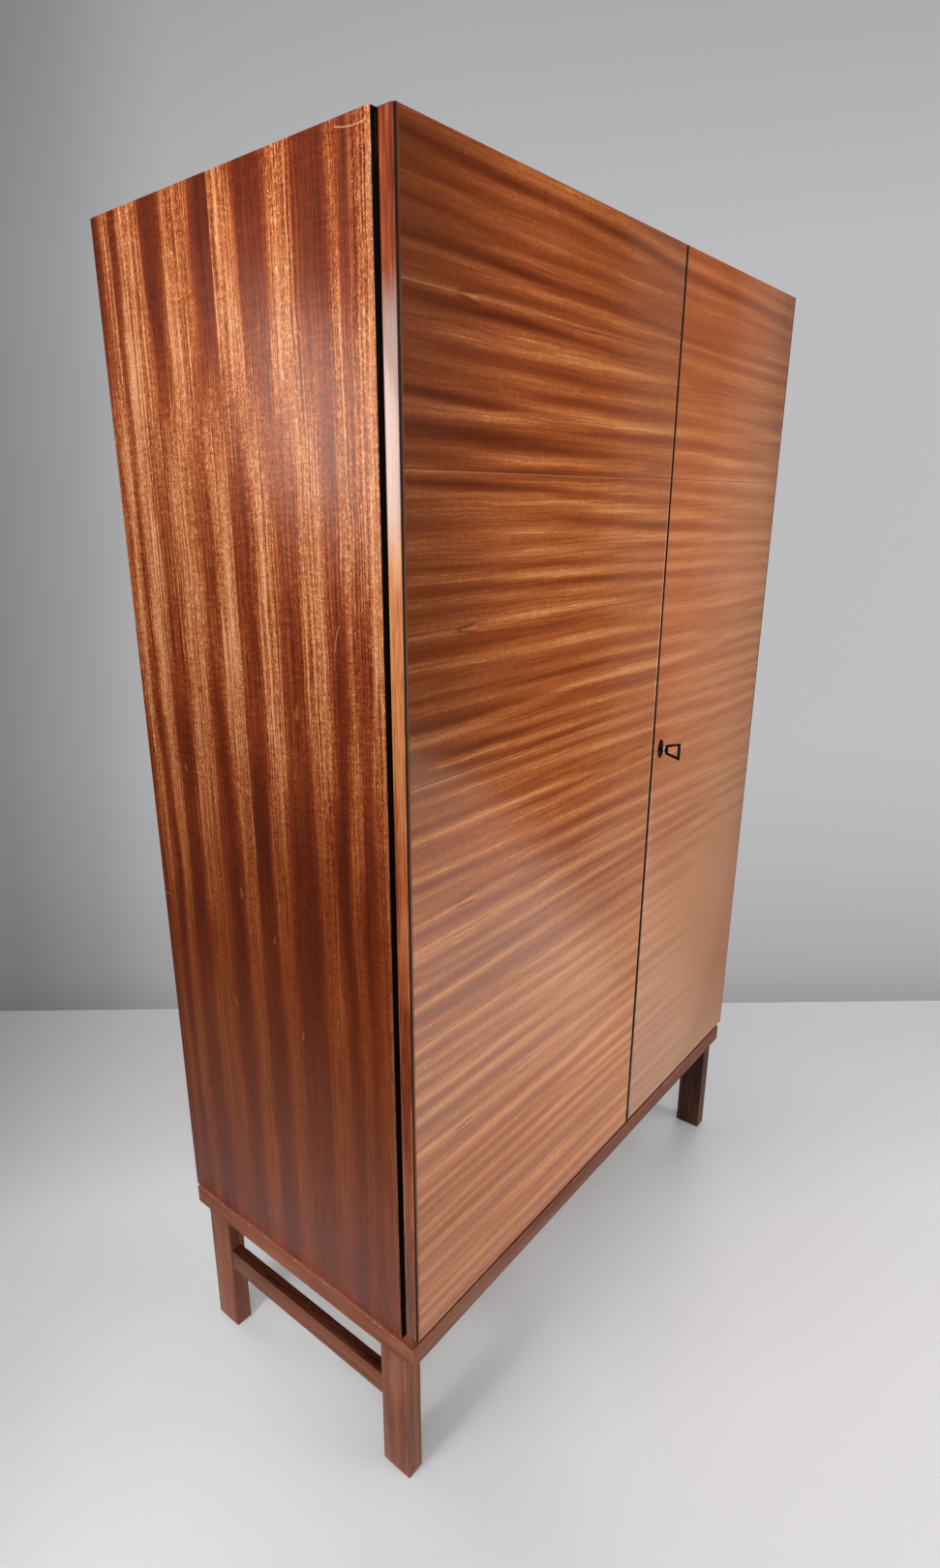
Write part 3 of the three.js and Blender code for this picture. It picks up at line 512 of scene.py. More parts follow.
back = eased("back_panel", "case", 0.0003, [raw_plywood()])
back_rear = 0.2816
for vertex in back.data.vertices:
    vertex.co.y = min(vertex.co.y, back_rear)


# Pins of the back, and all the screws. Small flat-headed pins hold the back, and slotted
# countersunk screws hold the iron and brass parts. No two slots stand at the same angle.
def start_tree(name, inputs, result):
    """A Geometry Nodes tree with its inputs, each a kind of socket and its default."""
    tree = bpy.data.node_groups.new(name, "GeometryNodeTree")
    for label, (kind, default) in inputs.items():
        socket = tree.interface.new_socket(label, in_out="INPUT", socket_type="NodeSocket" + kind)
        if default is not None:
            socket.default_value = default
    tree.interface.new_socket(result, in_out="OUTPUT", socket_type="NodeSocketGeometry")
    return tree, tree.nodes.new("NodeGroupInput").outputs


def step(tree, kind, settings=None, values=None, output=0):
    """One step of a tree: its settings are set first, then its sockets."""
    made = tree.nodes.new(kind)
    for setting, value in (settings or {}).items():
        setattr(made, setting, value)
    for socket, value in (values or {}).items():
        if isinstance(value, bpy.types.NodeSocket):
            tree.links.new(value, made.inputs[socket])
        else:
            made.inputs[socket].default_value = value
    return made.outputs[output] if made.outputs else None


def end_tree(tree, shape, finish):
    """Makes what the tree built real, gives it its finish and hands it over."""
    shape = step(tree, "GeometryNodeRealizeInstances", values={"Geometry": shape})
    shape = step(tree, "GeometryNodeSetMaterial", values={"Geometry": shape, "Material": finish})
    step(tree, "NodeGroupOutput", values={0: shape})
    return tree


def grown(name, blank, tree, asked):
    """A plain piece: what the tree makes of a blank mesh with the inputs asked for."""
    piece = placed(name, blank)
    maker = piece.modifiers.new("maker", "NODES")
    maker.node_group = tree
    for item in tree.interface.items_tree:
        if item.in_out == "INPUT" and item.name in asked:
            maker[item.identifier] = asked[item.name]
    seen = piece.evaluated_get(bpy.context.evaluated_depsgraph_get())
    made = bpy.data.meshes.new_from_object(seen)
    made.name = name
    piece.modifiers.clear()
    piece.data = made
    return piece


slot_lift = 0.45
slot_overrun = 3.0
head_inputs = {
    "Points": ("Geometry", None),
    "Head radius": ("Float", 0.003),
    "Head height": ("Float", 0.0012),
    "Slot width": ("Float", 0.0008),
    "Seed": ("Int", 1),
    "Finish": ("Material", None),
}


def fixing_tree(name, slotted):
    """Heads set on loose points, each turned to the point's own facing and then spun at random."""
    tree, given = start_tree(name, head_inputs, "Heads")
    disc = {"Vertices": 28, "Radius": given["Head radius"], "Depth": given["Head height"]}
    head = step(tree, "GeometryNodeMeshCylinder", values=disc)
    if slotted:
        times = {"operation": "MULTIPLY"}
        length = step(tree, "ShaderNodeMath", times, {0: given["Head radius"], 1: slot_overrun})
        sides = {0: length, 1: given["Slot width"], 2: given["Head height"]}
        size = step(tree, "ShaderNodeCombineXYZ", values=sides)
        cutter = step(tree, "GeometryNodeMeshCube", values={"Size": size})
        rise = step(tree, "ShaderNodeMath", times, {0: given["Head height"], 1: slot_lift})
        lift = step(tree, "ShaderNodeCombineXYZ", values={2: rise})
        cutter = step(tree, "GeometryNodeTransform", values={"Geometry": cutter, "Translation": lift})
        exactly = {"operation": "DIFFERENCE", "solver": "EXACT"}
        head = step(tree, "GeometryNodeMeshBoolean", exactly, {"Mesh 1": head, "Mesh 2": cutter})
    vector = {"data_type": "FLOAT_VECTOR"}
    facing = step(tree, "GeometryNodeInputNamedAttribute", vector, {"Name": "facing"})
    turned = step(tree, "FunctionNodeAlignRotationToVector", {"axis": "Z"}, {"Vector": facing})
    draw = {2: 0.0, 3: math.pi, "Seed": given["Seed"]}
    spin = step(tree, "FunctionNodeRandomValue", {"data_type": "FLOAT"}, draw, output=1)
    about = {"Axis": (0.0, 0.0, 1.0), "Angle": spin}
    twist = step(tree, "FunctionNodeAxisAngleToRotation", values=about)
    both = {"Rotation": turned, "Rotate By": twist}
    turned = step(tree, "FunctionNodeRotateRotation", {"rotation_space": "LOCAL"}, both)
    set_out = {"Points": given["Points"], "Instance": head, "Rotation": turned}
    heads = step(tree, "GeometryNodeInstanceOnPoints", values=set_out)
    return end_tree(tree, heads, given["Finish"])


screw_tree = fixing_tree("slotted screws", True)
pin_tree = fixing_tree("flat pins", False)


def fixings(name, body, tree, spots, finish, radius, height=0.0012, slot_width=0.0008, seed=1):
    """One mesh of heads for a body. Each spot is a place in millimetres and the way the head faces."""
    points = bpy.data.meshes.new(name + "_points")
    points.from_pydata([tuple(value / 1000 for value in place) for place, facing in spots], [], [])
    facings = points.attributes.new("facing", "FLOAT_VECTOR", "POINT")
    for item, (place, facing) in zip(facings.data, spots):
        item.vector = facing
    asked = {"Head radius": radius / 1000, "Head height": height, "Slot width": slot_width}
    piece = grown(name, points, tree, asked | {"Seed": seed, "Finish": finish})
    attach(piece, body)


def metal(name, shades, gloss, metallic, scratch=0.3, spots=0.3, grain=14.0):
    """Handled metal: clouded tarnish, fine scratches, and darker specks that are also rougher."""
    finish = Finish(name)
    x, y, z = finish.place()
    cloud = finish.noise((x / grain, y / grain, z / grain), 4.0, 0.6, 0.3)
    rub = finish.noise((x / 0.5, y / 0.5, z / 6), 2.0, 0.5)
    specks = finish.noise((x / 1.4, y / 1.4, z / 1.4), 3.0, 0.6).smooth(0.6, 0.72)
    shade = (cloud - 0.5) * 1.4 + (rub - 0.5) * scratch + 0.5
    colour = finish.ramp(shade, zip((0.1, 0.5, 0.9), shades))
    colour = finish.mix(specks * spots, colour, shades[0])
    rough = gloss + (cloud - 0.5) * 0.25 + specks * 0.2
    return finish.surface(colour, rough, rub * 0.3 + cloud * 0.5 - specks, 0.04, Metallic=metallic)


iron_shades = ("0c0908", "1b1512", "3a2f29")
iron_finish = metal("black_iron", iron_shades, 0.46, 0.35)
screw_steel = metal("steel_screw", ("4a4946", "7a7873", "aeaca5"), 0.3, 0.6)
screw_brass = metal("brass_screw", ("5c431d", "94723a", "c8aa6a"), 0.3, 0.6)
steel_finish = metal("steel", ("6a6965", "9a9893", "c2c0b9"), 0.34, 0.6)
brass_finish = metal("brass", ("8e6a30", "c29a4c", "e0c27e"), 0.3, 0.6, 0.3, 0.2, 22.0)

pin_face = 281.55
pin_rows = (282.5, 1785.0)
pin_columns = (-525.5, 525.5, 86.0)
row_end, row_gaps = 499, 7
column_foot, column_length, column_gaps = 320, 1425, 10
pin_spots = []
for number in range(row_gaps + 1):
    across = -row_end + number * 2 * row_end / row_gaps
    pin_spots = pin_spots + [((across, pin_face, up), (0, 1, 0)) for up in pin_rows]
for number in range(column_gaps + 1):
    up = column_foot + number * column_length / column_gaps
    pin_spots = pin_spots + [((across, pin_face, up), (0, 1, 0)) for across in pin_columns]
fixings("back_pins", "case", pin_tree, pin_spots, steel_finish, radius=1.7, height=0.0007, seed=3)


# Shelves, hat shelf and its cleats. Five veneered shelves: four housed in the right side and the
# partition, and one over the hanging space that rests on two screwed cleats.
for name in ("shelf_1", "shelf_2", "shelf_3", "shelf_4", "hat_shelf"):
    eased(name, "case", 0.0008, [boards_finishes[0]])
cleat_finish = inside_veneer("cleat_wood", "y")
cleat_middle = 1515
head_sunk = 0.45
for side, face, facing in (("left", -506, 1), ("right", 63, -1)):
    eased("hat_shelf_cleat_" + side, "case", 0.001, [cleat_finish])
    under_face = face - facing * head_sunk
    cleat_spots = [((under_face, y, cleat_middle), (facing, 0, 0)) for y in (-128, 54, 236)]
    name = "cleat_screws_" + side
    fixings(name, "case", screw_tree, cleat_spots, screw_brass, radius=3.4, seed=5)


# Clothes rod. A brass tube across the hanging space, dropped into two brass cups that are each
# fixed with three screws.
rod_inputs = {
    "Blank": ("Geometry", None),
    "From": ("Vector", None),
    "To": ("Vector", None),
    "Radius": ("Float", 0.011),
    "Finish": ("Material", None),
}


def rod_tree():
    """A round bar swept along a straight line and closed at its ends."""
    tree, given = start_tree("swept rod", rod_inputs, "Rod")
    ends = {"Start": given["From"], "End": given["To"]}
    path = step(tree, "GeometryNodeCurvePrimitiveLine", values=ends)
    round_wall = {"Resolution": 64, "Radius": given["Radius"]}
    ring = step(tree, "GeometryNodeCurvePrimitiveCircle", values=round_wall)
    swept = {"Curve": path, "Profile Curve": ring, "Fill Caps": True}
    return end_tree(tree, step(tree, "GeometryNodeCurveToMesh", values=swept), given["Finish"])


rod_low, rod_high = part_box("clothes_rod")
rod_middle = (rod_low + rod_high) / 2
rod_asked = {
    "From": (rod_low.x, *rod_middle.yz),
    "To": (rod_high.x, *rod_middle.yz),
    "Radius": (rod_high.z - rod_low.z) / 2,
    "Finish": brass_finish,
}
rod = grown("clothes_rod_shown", bpy.data.meshes.new("rod_blank"), rod_tree(), rod_asked)
for face in rod.data.polygons:
    face.use_smooth = len(face.vertices) == 4
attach(rod, "case")
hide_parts("clothes_rod")

plate_face = 2.6
screw_circle = 18.8
axis_y, axis_z = 44, 1469
for side, wall, facing in (("left", -520, 1), ("right", 77, -1)):
    eased("rod_socket_" + side, "case", 0.0005, [brass_finish], shortest=0.0005)
    socket_spots = []
    for turn in (math.radians(90), math.radians(210), math.radians(330)):
        y = axis_y + screw_circle * math.cos(turn)
        z = axis_z + screw_circle * math.sin(turn)
        socket_spots.append(((wall + facing * plate_face, y, z), (facing, 0, 0)))
    name = "socket_screws_" + side
    fixings(name, "case", screw_tree, socket_spots, screw_brass, radius=2.5, seed=7)


# Stops and meeting post. Strips of wood stained black, which close the gaps round the doors and
# give them something to shut against.
strips = [f"stop_strip_{end}_{side}" for end in ("bottom", "top") for side in ("left", "right")]
for name in ("meeting_post", *strips):
    eased(name, "case", 0.0006, [black_finish])


# Pivot hinges. A cranked iron bracket is let into the front edge of the side at the head and foot
# of each door. Its pin turns in a steel plate in the door's end, on a washer at the foot.
leaf_middle, leaf_face = 529, -213.55
leaf_screws_up = (300, 318, 1761, 1779)
pivot_y = -233
plate_screws_out = (499, 512)
for side, outward in (("left", -1), ("right", 1)):
    door = "door_" + side
    for end in ("bottom", "top"):
        name = f"pivot_bracket_{end}_{side}"
        eased(name, "case", 0.0004, [iron_finish], shortest=0.001)
    name = "bracket_screws_" + side
    leaf_spots = [((leaf_middle * outward, leaf_face, z), (0, -1, 0)) for z in leaf_screws_up]
    fixings(name, "case", screw_tree, leaf_spots, iron_finish, radius=3.1, seed=11)
    eased("pivot_washer_" + side, "case", 0.0001, [steel_finish], shortest=0.0001)
    for end, face, facing in (("bottom", 290, -1), ("top", 1789, 1)):
        eased(f"pivot_plate_{end}_{side}", door, 0.0003, [steel_finish], shortest=0.001)
        plate_spots = [((x * outward, pivot_y, face), (0, 0, facing)) for x in plate_screws_out]
        name = f"plate_screws_{end}_{side}"
        fixings(name, door, screw_tree, plate_spots, screw_steel, radius=3.0, seed=13)


# Doors. Two boards faced with sapele leaves laid across both doors, each leaf opened against the
# next like a book, with a solid lipping down the hinge side and a thin one down the meeting side.
# The inside has the pale veneer, and the ends and the cuts for the fittings are bare wood.
leaf_height = 175
first_book_joint = 1472.5
door_stripes = [
    (0, 0.4), (6, 0.42), (15, 0.7), (24, 0.22), (45, 0.14), (53, 0.85), (59, 0.85), (67, 0.18),
    (84, 0.16), (92, 0.72), (100, 0.28), (115, 0.22), (124, 0.72), (135, 0.7), (147, 0.28), (160, 0.32),
    (175, 0.5),
]
door_shades = [
    (0.0, "55230d"), (0.2, "733317"), (0.4, "8b4420"), (0.6, "a1552b"), (0.8, "b86c3a"),
    (1.0, "d48d58"),
]
meeting_gap = 86
left_arris = 81.2


def door_veneer():
    finish = Finish("door_veneer")
    x, _, z = finish.place()
    below = x.sum("FLOORED_MODULO", first_book_joint - z, 2 * leaf_height)
    from_joint = x.sum("PINGPONG", below, leaf_height)
    under = x.sum("LESS_THAN", below, leaf_height)
    bend = finish.noise((x / 330, z / 90, 2.0), 2.0) * 22 - 11
    tremble = finish.noise((x / 70, z / 12, 6.0), 2.0) * 5 - 2.5
    drifted = from_joint - (x + half_width) * 0.02 + bend + tremble
    band = finish.ramp(drifted / leaf_height, grey(door_stripes, leaf_height), "B_SPLINE")
    stripe = (band + 0.03) * (1 - under) + (0.84 - band * 0.8) * under
    wobble = finish.noise((x / 210, z / 60, 3.0), 2.0) * 16 - 8
    fine_bands = finish.noise((x / 600, (z + bend + tremble) / 15, 13.0), 1.0, 0.5)
    pitch = finish.noise((x / 1400, z / 80, 21.0), 1.0) * 60
    waves = x.sum("SINE", (z + x * 0.03 + wobble * 0.7 + pitch) * (2 * math.pi / 29))
    quiet = (1 - x.smooth(-350, 250) * 0.5) * (1 - z.smooth(1000, 600) * 0.22)
    cloud = finish.noise((x / 300, z / 110, 4.0), 2.0)
    # Painted light and shade: lighter to the right, on the right door and low down, darker at the top
    # and near the foot.
    painted_light = x.smooth(-450, 250) * 0.2 + z.smooth(1060, 700) * 0.13
    painted_light = painted_light + z.smooth(1600, 1250) * 0.08 - z.smooth(1500, 1790) * 0.17
    painted_light = painted_light - z.smooth(600, 350) * 0.06 + x.smooth(220, 420) * 0.09
    painted_light = painted_light + x.smooth(120, 350) * z.smooth(950, 600) * 0.11
    painted_light = painted_light - x.smooth(-260, -40) * x.smooth(320, 160) * z.smooth(560, 360) * 0.07
    stripe = ((stripe - 0.46) * 0.6 + waves * 0.17 + (fine_bands - 0.5) * 0.75) * quiet + 0.5
    stripe = stripe + painted_light + (cloud - 0.5) * 0.2
    shade, pores, streaks = veneer_figure(finish, z, x, stripe, quiet * 0.75, quiet * 0.16, 26)
    colour = finish.ramp(shade, door_shades)
    # Painted shade at the upper left.
    painted_shade_upper_left = x.smooth(-300, -542) * z.smooth(880, 1250)
    # Painted veils of reflection: pink over the right door, and grey low on both doors, weaker on the
    # right door and at the foot.
    painted_veil_right_door = x.smooth(meeting_gap - 0.5, meeting_gap + 0.5)
    painted_veil_strength = 0.2 - z.smooth(1250, 1700) * 0.12 + z.smooth(950, 600) * 0.05
    painted_veil_low = z.smooth(1060, 860) * 0.2 - z.smooth(720, 480) * 0.17
    painted_veil_low = painted_veil_low * (1 - x.smooth(-60, 120) * 0.6)
    hairline = abs(from_joint - 0.3).smooth(0.9, 0.2)
    pip_joint = abs(from_joint - leaf_height).smooth(1.3, 0.4) * fine_bands.smooth(0.4, 0.6)
    from_pip = (x + 432) / 24
    over_pip = (leaf_height - from_joint - from_pip * 2.4 + wobble * 0.4) / 2.2
    near_pip = (from_pip * from_pip).smooth(1.0, 0.2)
    lit_arris = abs(x - left_arris).smooth(1.7, 0.7) * (z.smooth(1700, 1000) * 0.3 + 0.12)
    # Painted shadow along the gap between the doors, where the coat is also taken off.
    painted_gap_shadow = (abs(x - meeting_gap) - z.smooth(1250, 1050) * 0.9).smooth(3.6, 2.8)
    # Marks laid over the figure, in order: painted shade, painted veils of reflection, the lines of the
    # leaf joints and pips, a painted highlight on the arris beside the gap, painted shadow at the gap,
    # and pores.
    laid_over = (
        (painted_shade_upper_left * 0.6, "4a2010"),
        (painted_veil_right_door * painted_veil_strength, "e09478"),
        (painted_veil_low, "a08e8a"),
        (hairline * (1 - under) * 0.6, "4a2010"),
        (from_joint.smooth(3.0, 1.0) * under * 0.22, "d29a6c"),
        (pip_joint * 0.18, "d9a271"),
        (abs(over_pip).smooth(1.0, 0.2) * near_pip * 0.35, "cf8f5a"),
        (abs(over_pip - 2.0).smooth(1.4, 0.2) * near_pip * 0.5, "43180d"),
        (lit_arris, "f0b894"),
        (painted_gap_shadow * 0.97, "0e0402"),
        (pores * 0.25, "3a150b"),
    )
    for strength, shade in laid_over:
        colour = finish.mix(strength, colour, shade)
    rough = 0.2 + (streaks - 0.5) * 0.1 + (cloud - 0.5) * 0.06 + painted_gap_shadow * 0.6
    coat = {"Coat_Weight": (1 - painted_gap_shadow) * 0.7, "Coat_Roughness": 0.09}
    return finish.surface(colour, rough, streaks * 0.5 - pores, 0.012, **coat)


def hinge_lipping():
    """Solid lipping seen edge-on, lighter towards its arrises, with painted light, sheen and shade."""
    finish = Finish("hinge_lipping")
    x, y, z = finish.place()
    fibres = finish.noise((x / 1.3, y / 1.3, z / 44), 3.0, 0.6)
    rings = finish.noise((x / 7, y / 5, z / 500), 3.0, 0.6)
    cloud = finish.noise((x / 40, y / 40, z / 130), 2.0)
    shade = (rings - 0.5) * 1.2 + (fibres - 0.5) * 1.1 + (cloud - 0.5) * 0.8 + 0.39
    # Painted light: lighter from the foot to the middle and again above it, and much darker at the top.
    shade = shade + z.smooth(340, 500) * 0.27 - z.smooth(640, 760) * 0.12
    shade = shade + z.smooth(900, 1230) * 0.27 - z.smooth(1480, 1720) * 0.45
    shade = shade + abs(y + 234.5).smooth(5.5, 10.5) * 0.16
    stops = [(0.1, "561f0d"), (0.4, "88371b"), (0.7, "bc5e31"), (1.0, "e8985c")]
    colour = finish.ramp(shade, stops)
    # A pale painted sheen high on the lipping.
    painted_sheen = z.smooth(1370, 1450) * z.smooth(1665, 1600)
    colour = finish.mix(painted_sheen * (fibres * 0.4 + 0.5), colour, "c2ada5")
    front_strip = y.smooth(-244.9, -245.4)
    strip_colour = finish.mix(z.smooth(700, 1000), "8a4020", "4a2411")
    colour = finish.mix(front_strip * 0.9, colour, strip_colour)
    # Painted shade in the quirk between lipping and face, where the coat is also taken off.
    quirk_shadow = y.smooth(-243.5, -244.2) * abs(x).smooth(539.8, 540.3)
    colour = finish.mix(quirk_shadow * 0.95, colour, "160805")
    rough = 0.3 + (fibres - 0.5) * 0.2 + (cloud - 0.5) * 0.15
    polish = (1 - quirk_shadow) * (1 - front_strip * 0.7)
    coat = {"Coat_Weight": polish, "Coat_Roughness": 0.14, "Coat_IOR": 1.6}
    return finish.surface(colour, rough + quirk_shadow * 0.5, fibres, 0.03, **coat)


just_behind_front = -0.2455
just_before_back = -0.2235
near_gap = 0.002


def door_face(face):
    """The outside 0, the inside 1, and the ends and cuts 2."""
    centre = face.calc_center_median()
    if face.normal.y < -0.9 and centre.y < just_behind_front:
        return 0
    if face.normal.y > 0.9 and centre.y > just_before_back:
        return 1
    return 2


def meeting_face(face):
    """The veneered front 0, the stained edge in the gap between the doors 1, and the rest 2."""
    if face.normal.y < -0.9:
        return 0
    from_gap = abs(face.calc_center_median().x - meeting_gap / 1000)
    return 1 if abs(face.normal.x) > 0.5 and from_gap < near_gap else 2


door_core = solid_wood("door_core", "x", ("6a3a20", "93603a", "b78a5c"), 0.6)
door_finishes = [door_veneer(), side_finishes[1], door_core]
hinge_lipping_finish = hinge_lipping()
meeting_finishes = [door_finishes[0], black_finish, lipping_finish]
for side in ("left", "right"):
    body = "door_" + side
    eased(body + "_panel", body, 0.0004, door_finishes, door_face, segments=2)
    eased(body + "_hinge_lipping", body, 0.0005, [hinge_lipping_finish])
    eased(body + "_meeting_lipping", body, 0.0006, meeting_finishes, meeting_face)


# Lock, keep plate, escutcheon and key. A steel lock is let into the right door, and its brass bolt
# shoots into a brass plate in the left one. The escutcheon and the open-bowed key are black iron,
# and the key's collar is a pale metal for a painted glint.
eased("lock_case", "door_right", 0.0004, [steel_finish], shortest=0.002)
eased("lock_cover", "door_right", 0.0003, [steel_finish], shortest=0.002)
eased("lock_bolt", "lock_bolt", 0.0004, [brass_finish], shortest=0.002)
cover_face = -223.25
cover_spots = [((x, cover_face, z), (0, 1, 0)) for x in (104.5, 132.5) for z in (1018.5, 1064.5)]
fixings("lock_screws", "door_right", screw_tree, cover_spots, screw_steel, radius=2.6, seed=17)
eased("keep_plate", "door_left", 0.0002, [brass_finish], shortest=0.001)
keep_face, keep_middle = 84.3, -229.5
keep_spots = [((keep_face, keep_middle, z), (1, 0, 0)) for z in (1037.6, 1067.4)]
fixings("keep_screws", "door_left", screw_tree, keep_spots, screw_brass, radius=2.4, seed=19)

polished_black = metal("black_iron_rubbed", ("050404", "0d0a09", "2a211d"), 0.24, 0.2, 0.2, 0.4, 9.0)
# A pale metal for the key's collar, which stands in for a glint: a painted highlight.
glint_iron = metal("glint_iron", ("aaa59f", "dcd8d2", "faf7f2"), 0.2, 0.35, 0.4, 0.2, 6.0)
collar_front, collar_back = -0.2553, -0.2532


def key_face(face):
    """The collar behind the bow, pale for a painted glint, 1, and the black bow and shaft 0."""
    return 1 if collar_front < face.calc_center_median().y < collar_back else 0


eased("escutcheon", "door_right", 0.0005, [polished_black], shortest=0.0005)
eased("key", "key", 0.0009, [polished_black, glint_iron], key_face, shortest=0.001)


# Slide bolts. A brass bolt at the head and foot of the left door, on its inside, each in a guide
# held by four screws. They are tarnished where they aren't touched.
worn_brass = metal("brass_worn", ("7a5828", "b28b44", "d8b874"), 0.34, 0.6, 0.4, 0.3, 20.0)
guide_face = -221.4
guide_columns = (29.9, 49.7)
for end, up in (("bottom", 366.1), ("top", 1701.4)):
    eased("slide_bolt_" + end, "slide_bolt_" + end, 0.0005, [worn_brass], shortest=0.001)
    eased("bolt_guide_" + end, "door_left", 0.0002, [worn_brass], shortest=0.001)
    guide_rows = (up - 15, up + 15)
    guide_spots = [((x, guide_face, z), (0, 1, 0)) for x in guide_columns for z in guide_rows]
    name = "guide_screws_" + end
    fixings(name, "door_left", screw_tree, guide_spots, screw_brass, radius=2.0, seed=23)


# Floor and backdrop. A pale, plain floor and a pale, glowing wall behind, both with painted shade:
# they grow darker away from the light at the left, and the floor also in patches near the base and
# towards the near edge. In reflections the floor shows a painted colour of its own.
floor_mesh = bpy.data.meshes.new("floor")
floor_mesh.from_pydata([(-6, -6, 0), (6, -6, 0), (6, 6, 0), (-6, 6, 0)], [], [(0, 1, 2, 3)])
floor = placed("floor", floor_mesh)
heading = -math.radians(camera_turns[2])
ahead = (math.sin(heading), math.cos(heading))
aside = (math.cos(heading), -math.sin(heading))
wall_distance = 0.803


def floor_paint():
    finish = Finish("floor_paint")
    x, y, _ = finish.place()
    depth = (x * ahead[0] + y * ahead[1]) / 1000
    right = (x * aside[0] + y * aside[1]) / 1000
    grain = finish.noise((x / 3, y / 3, 0.0), 3.0, 0.6)
    # Painted shade: darker towards the back, in patches in front of the left of the base, towards the
    # far left and towards the near edge.
    shades = [(0.0, "d8d9da"), (0.35, "d5d6d7"), (0.62, "c8c8ca"), (1.0, "bbbbbe")]
    colour = finish.ramp(depth.smooth(-0.55, 0.8), shades)
    spot = (right + 0.55) * (right + 0.55) + (depth + 0.6) * (depth + 0.6)
    colour = finish.mix(spot.smooth(0.55, 0.05), colour, "c3c4c5")
    painted_shade_near_left = right.smooth(-0.1, -0.5) * depth.smooth(-0.3, -0.6)
    colour = finish.mix(painted_shade_near_left * 0.5, colour, "b9babb")
    painted_shade_corner = right.smooth(-0.5, -1.8) * (depth.smooth(-0.7, 0.2) * 0.5 + 0.5)
    colour = finish.mix(painted_shade_corner, colour, "7a7a7c")
    colour = finish.mix(y.smooth(-1300, -2600) * 0.7, colour, "6c6c6e")
    colour = finish.mix(0.04, colour, grain, "OVERLAY")
    # A painted reflection: glossy rays see the floor warm and pale, dimmer towards the right and back,
    # and dark to the far left and far front.
    mirrored = finish.node("ShaderNodeLightPath", output="Is Glossy Ray")
    dark_in_reflection = x.smooth(-850, -1250) * 0.6 + y.smooth(-2400, -2800)
    dark_in_reflection = (dark_in_reflection + x.smooth(-556, -600) * 0.62).smooth(0.0, 1.0)
    veil = y.smooth(-1700, -1250)
    warm = {0: veil * 0.14, 1: veil * 0.125, 2: veil * 0.11}
    veil = finish.node("ShaderNodeCombineColor", values=warm)
    colour = finish.mix(mirrored, colour, "dcc8b8")
    colour = finish.mix(mirrored * (x + y * 1.3).smooth(-450, 1180), colour, veil)
    colour = finish.mix(mirrored * x.smooth(1500, 2900), colour, veil)
    colour = finish.mix(mirrored * dark_in_reflection, colour, "1c1b1b")
    return finish.surface(colour, 0.6 + (grain - 0.5) * 0.1, grain, 0.05)


def backdrop_paint():
    """Seen from the front it glows as a lit grey wall, and from behind it isn't there."""
    finish = Finish("backdrop_paint")
    x, y, z = finish.place()
    right = (x * aside[0] + y * aside[1]) / 1000
    up = z / 1000
    # Painted shade on the glowing wall: darker near the floor, at the top and towards the left.
    heights = [
        (0.0, "9a9a9d"), (0.05, "a9a9ab"), (0.18, "b7b6b8"), (0.32, "bfbec0"), (0.8, "bebdbf"),
        (1.0, "adacae"),
    ]
    colour = finish.ramp(up / 2.5, heights)
    widths = [
        (0.0, 0.44), (0.094, 0.62), (0.14, 0.76), (0.185, 0.87), (0.26, 0.91), (0.4, 0.95), (1.0, 1.0),
    ]
    along_wall = (right + 1.3) / 2.7 + (0.9 - up) * 0.025
    colour = finish.mix(1.0, colour, finish.ramp(along_wall, grey(widths, 1.0)), "MULTIPLY")
    glow = finish.node("ShaderNodeEmission", values={"Color": colour, "Strength": 1.0})
    clear = finish.node("ShaderNodeBsdfTransparent")
    from_behind = finish.node("ShaderNodeNewGeometry", output="Backfacing")
    both = finish.node("ShaderNodeMixShader", values={0: from_behind, 1: glow, 2: clear})
    finish.node("ShaderNodeOutputMaterial", values={"Surface": both})
    return finish.material


def upright(name, first, second, low, high):
    """A standing rectangle over the line between two places on the floor."""
    corners = [(*first, low), (*second, low), (*second, high), (*first, high)]
    mesh = bpy.data.meshes.new(name)
    mesh.from_pydata(corners, [], [(0, 1, 2, 3)])
    return mesh


ends = []
for side in (-5, 5):
    x = ahead[0] * wall_distance + aside[0] * side
    y = ahead[1] * wall_distance + aside[1] * side
    ends.append((x, y))
wall_mesh = upright("backdrop", *ends, -0.01, 4.5)
wall = placed("backdrop", wall_mesh)
floor_mesh.materials.append(floor_paint())
wall_mesh.materials.append(backdrop_paint())
wall.visible_diffuse = False
wall.visible_shadow = False
wall.visible_glossy = False
floor.visible_diffuse = False


# Lamps, and cards that only polished surfaces see. A broad lamp in front lights the doors, one high
# at the left lights the side from its top down, and others fill in. The cards put a pale veil on
# the right door and a soft sheen on the front of the side.
def soft_lamp(name, place, target, width, height, power):
    lamp = bpy.data.lights.new(name, "AREA")
    lamp.shape = "RECTANGLE"
    lamp.size = width
    lamp.size_y = height
    lamp.energy = power
    holder = placed(name, lamp)
    holder.location = place
    holder.rotation_euler = (Vector(target) - Vector(place)).to_track_quat("-Z", "Y").to_euler()
    holder.visible_camera = False
    return holder


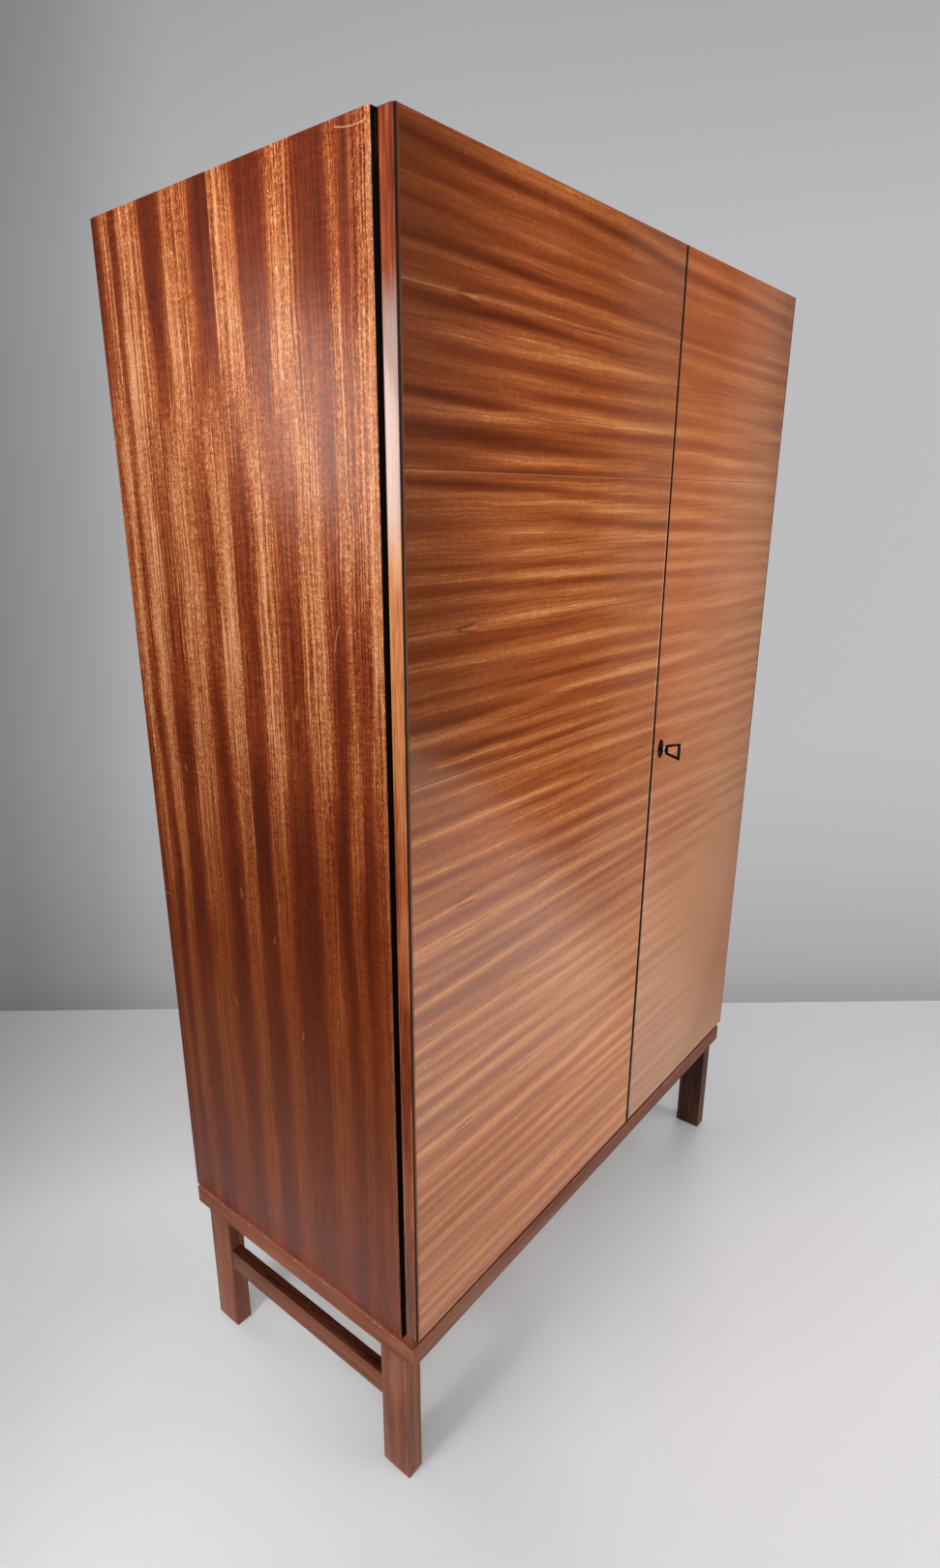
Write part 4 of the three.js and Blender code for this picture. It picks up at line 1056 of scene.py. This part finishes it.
key_lamp = soft_lamp("key_lamp", (-2.6, -2.2, 3.2), (0, 0, 0.9), 1.8, 1.8, 50)
key_lamp.data.shape = "DISK"
unseen_lamps = [
    soft_lamp("front_lamp", (0.9, -4.2, 1.4), (0, 0, 0.8), 2.6, 2.0, 112),
    soft_lamp("side_lamp", (-1.75, 0.2, 2.35), (-0.55, 0.0, 1.5), 0.8, 0.8, 15),
    soft_lamp("top_lamp", (0.0, -0.4, 3.8), (0, -0.4, 0), 3.0, 3.0, 47),
    soft_lamp("right_lamp", (3.6, 0.6, 2.0), (0.4, 0.1, 0.9), 1.6, 2.0, 50),
    soft_lamp("back_lamp", (-0.4, 4.0, 2.2), (0, 0, 0.9), 2.2, 1.8, 80),
]
low_lamp = soft_lamp("low_lamp", (-2.15, 0.0, 0.72), (-0.6, 0.0, -0.02), 0.5, 0.4, 1.1)
low_lamp.data.spread = math.radians(34)
for lamp in (*unseen_lamps, low_lamp):
    lamp.visible_glossy = False


def pale_card(name, first, second, heights, brightness, fade_axis, fade):
    """A warm glowing card. Its glow grows along one axis between the two places in fade."""
    card_mesh = upright(name, first, second, *heights)
    card = placed(name, card_mesh)
    finish = Finish(name)
    spot = dict(zip("xyz", finish.place()))
    growing = spot[fade_axis].smooth(*fade) * brightness
    warm = {0: growing, 1: growing * 0.9, 2: growing * 0.8}
    colour = finish.node("ShaderNodeCombineColor", values=warm)
    glow = finish.node("ShaderNodeEmission", values={"Color": colour, "Strength": 1.0})
    finish.node("ShaderNodeOutputMaterial", values={"Surface": glow})
    card_mesh.materials.append(finish.material)
    for way in ("camera", "diffuse", "shadow", "transmission", "volume_scatter"):
        setattr(card, "visible_" + way, False)


pale_card("right_card", (2.6, -2.4), (2.6, 0.6), (0.0, 3.4), 0.13, "y", (-1700, -1250))
pale_card("left_card", (-1.45, 1.15), (-1.85, 0.62), (1.3, 2.1), 4.2, "z", (1390, 1660))
pale_card("strip_card", (-1.666, 0.864), (-1.73, 0.779), (0.3, 1.96), 3.8, "z", (1250, 1500))

world = bpy.data.worlds.new("room")
world.use_nodes = True
sky = world.node_tree.nodes["Background"]
sky.inputs["Color"].default_value = (1.0, 1.0, 1.0, 1.0)
seen_by = world.node_tree.nodes.new("ShaderNodeLightPath")
dimmed = world.node_tree.nodes.new("ShaderNodeMapRange")
dimmed.inputs["To Min"].default_value = 0.2
dimmed.inputs["To Max"].default_value = 0.02
world.node_tree.links.new(seen_by.outputs["Is Glossy Ray"], dimmed.inputs["Value"])
world.node_tree.links.new(dimmed.outputs["Result"], sky.inputs["Strength"])
bpy.context.scene.world = world
bpy.context.scene.view_settings.view_transform = "Standard"
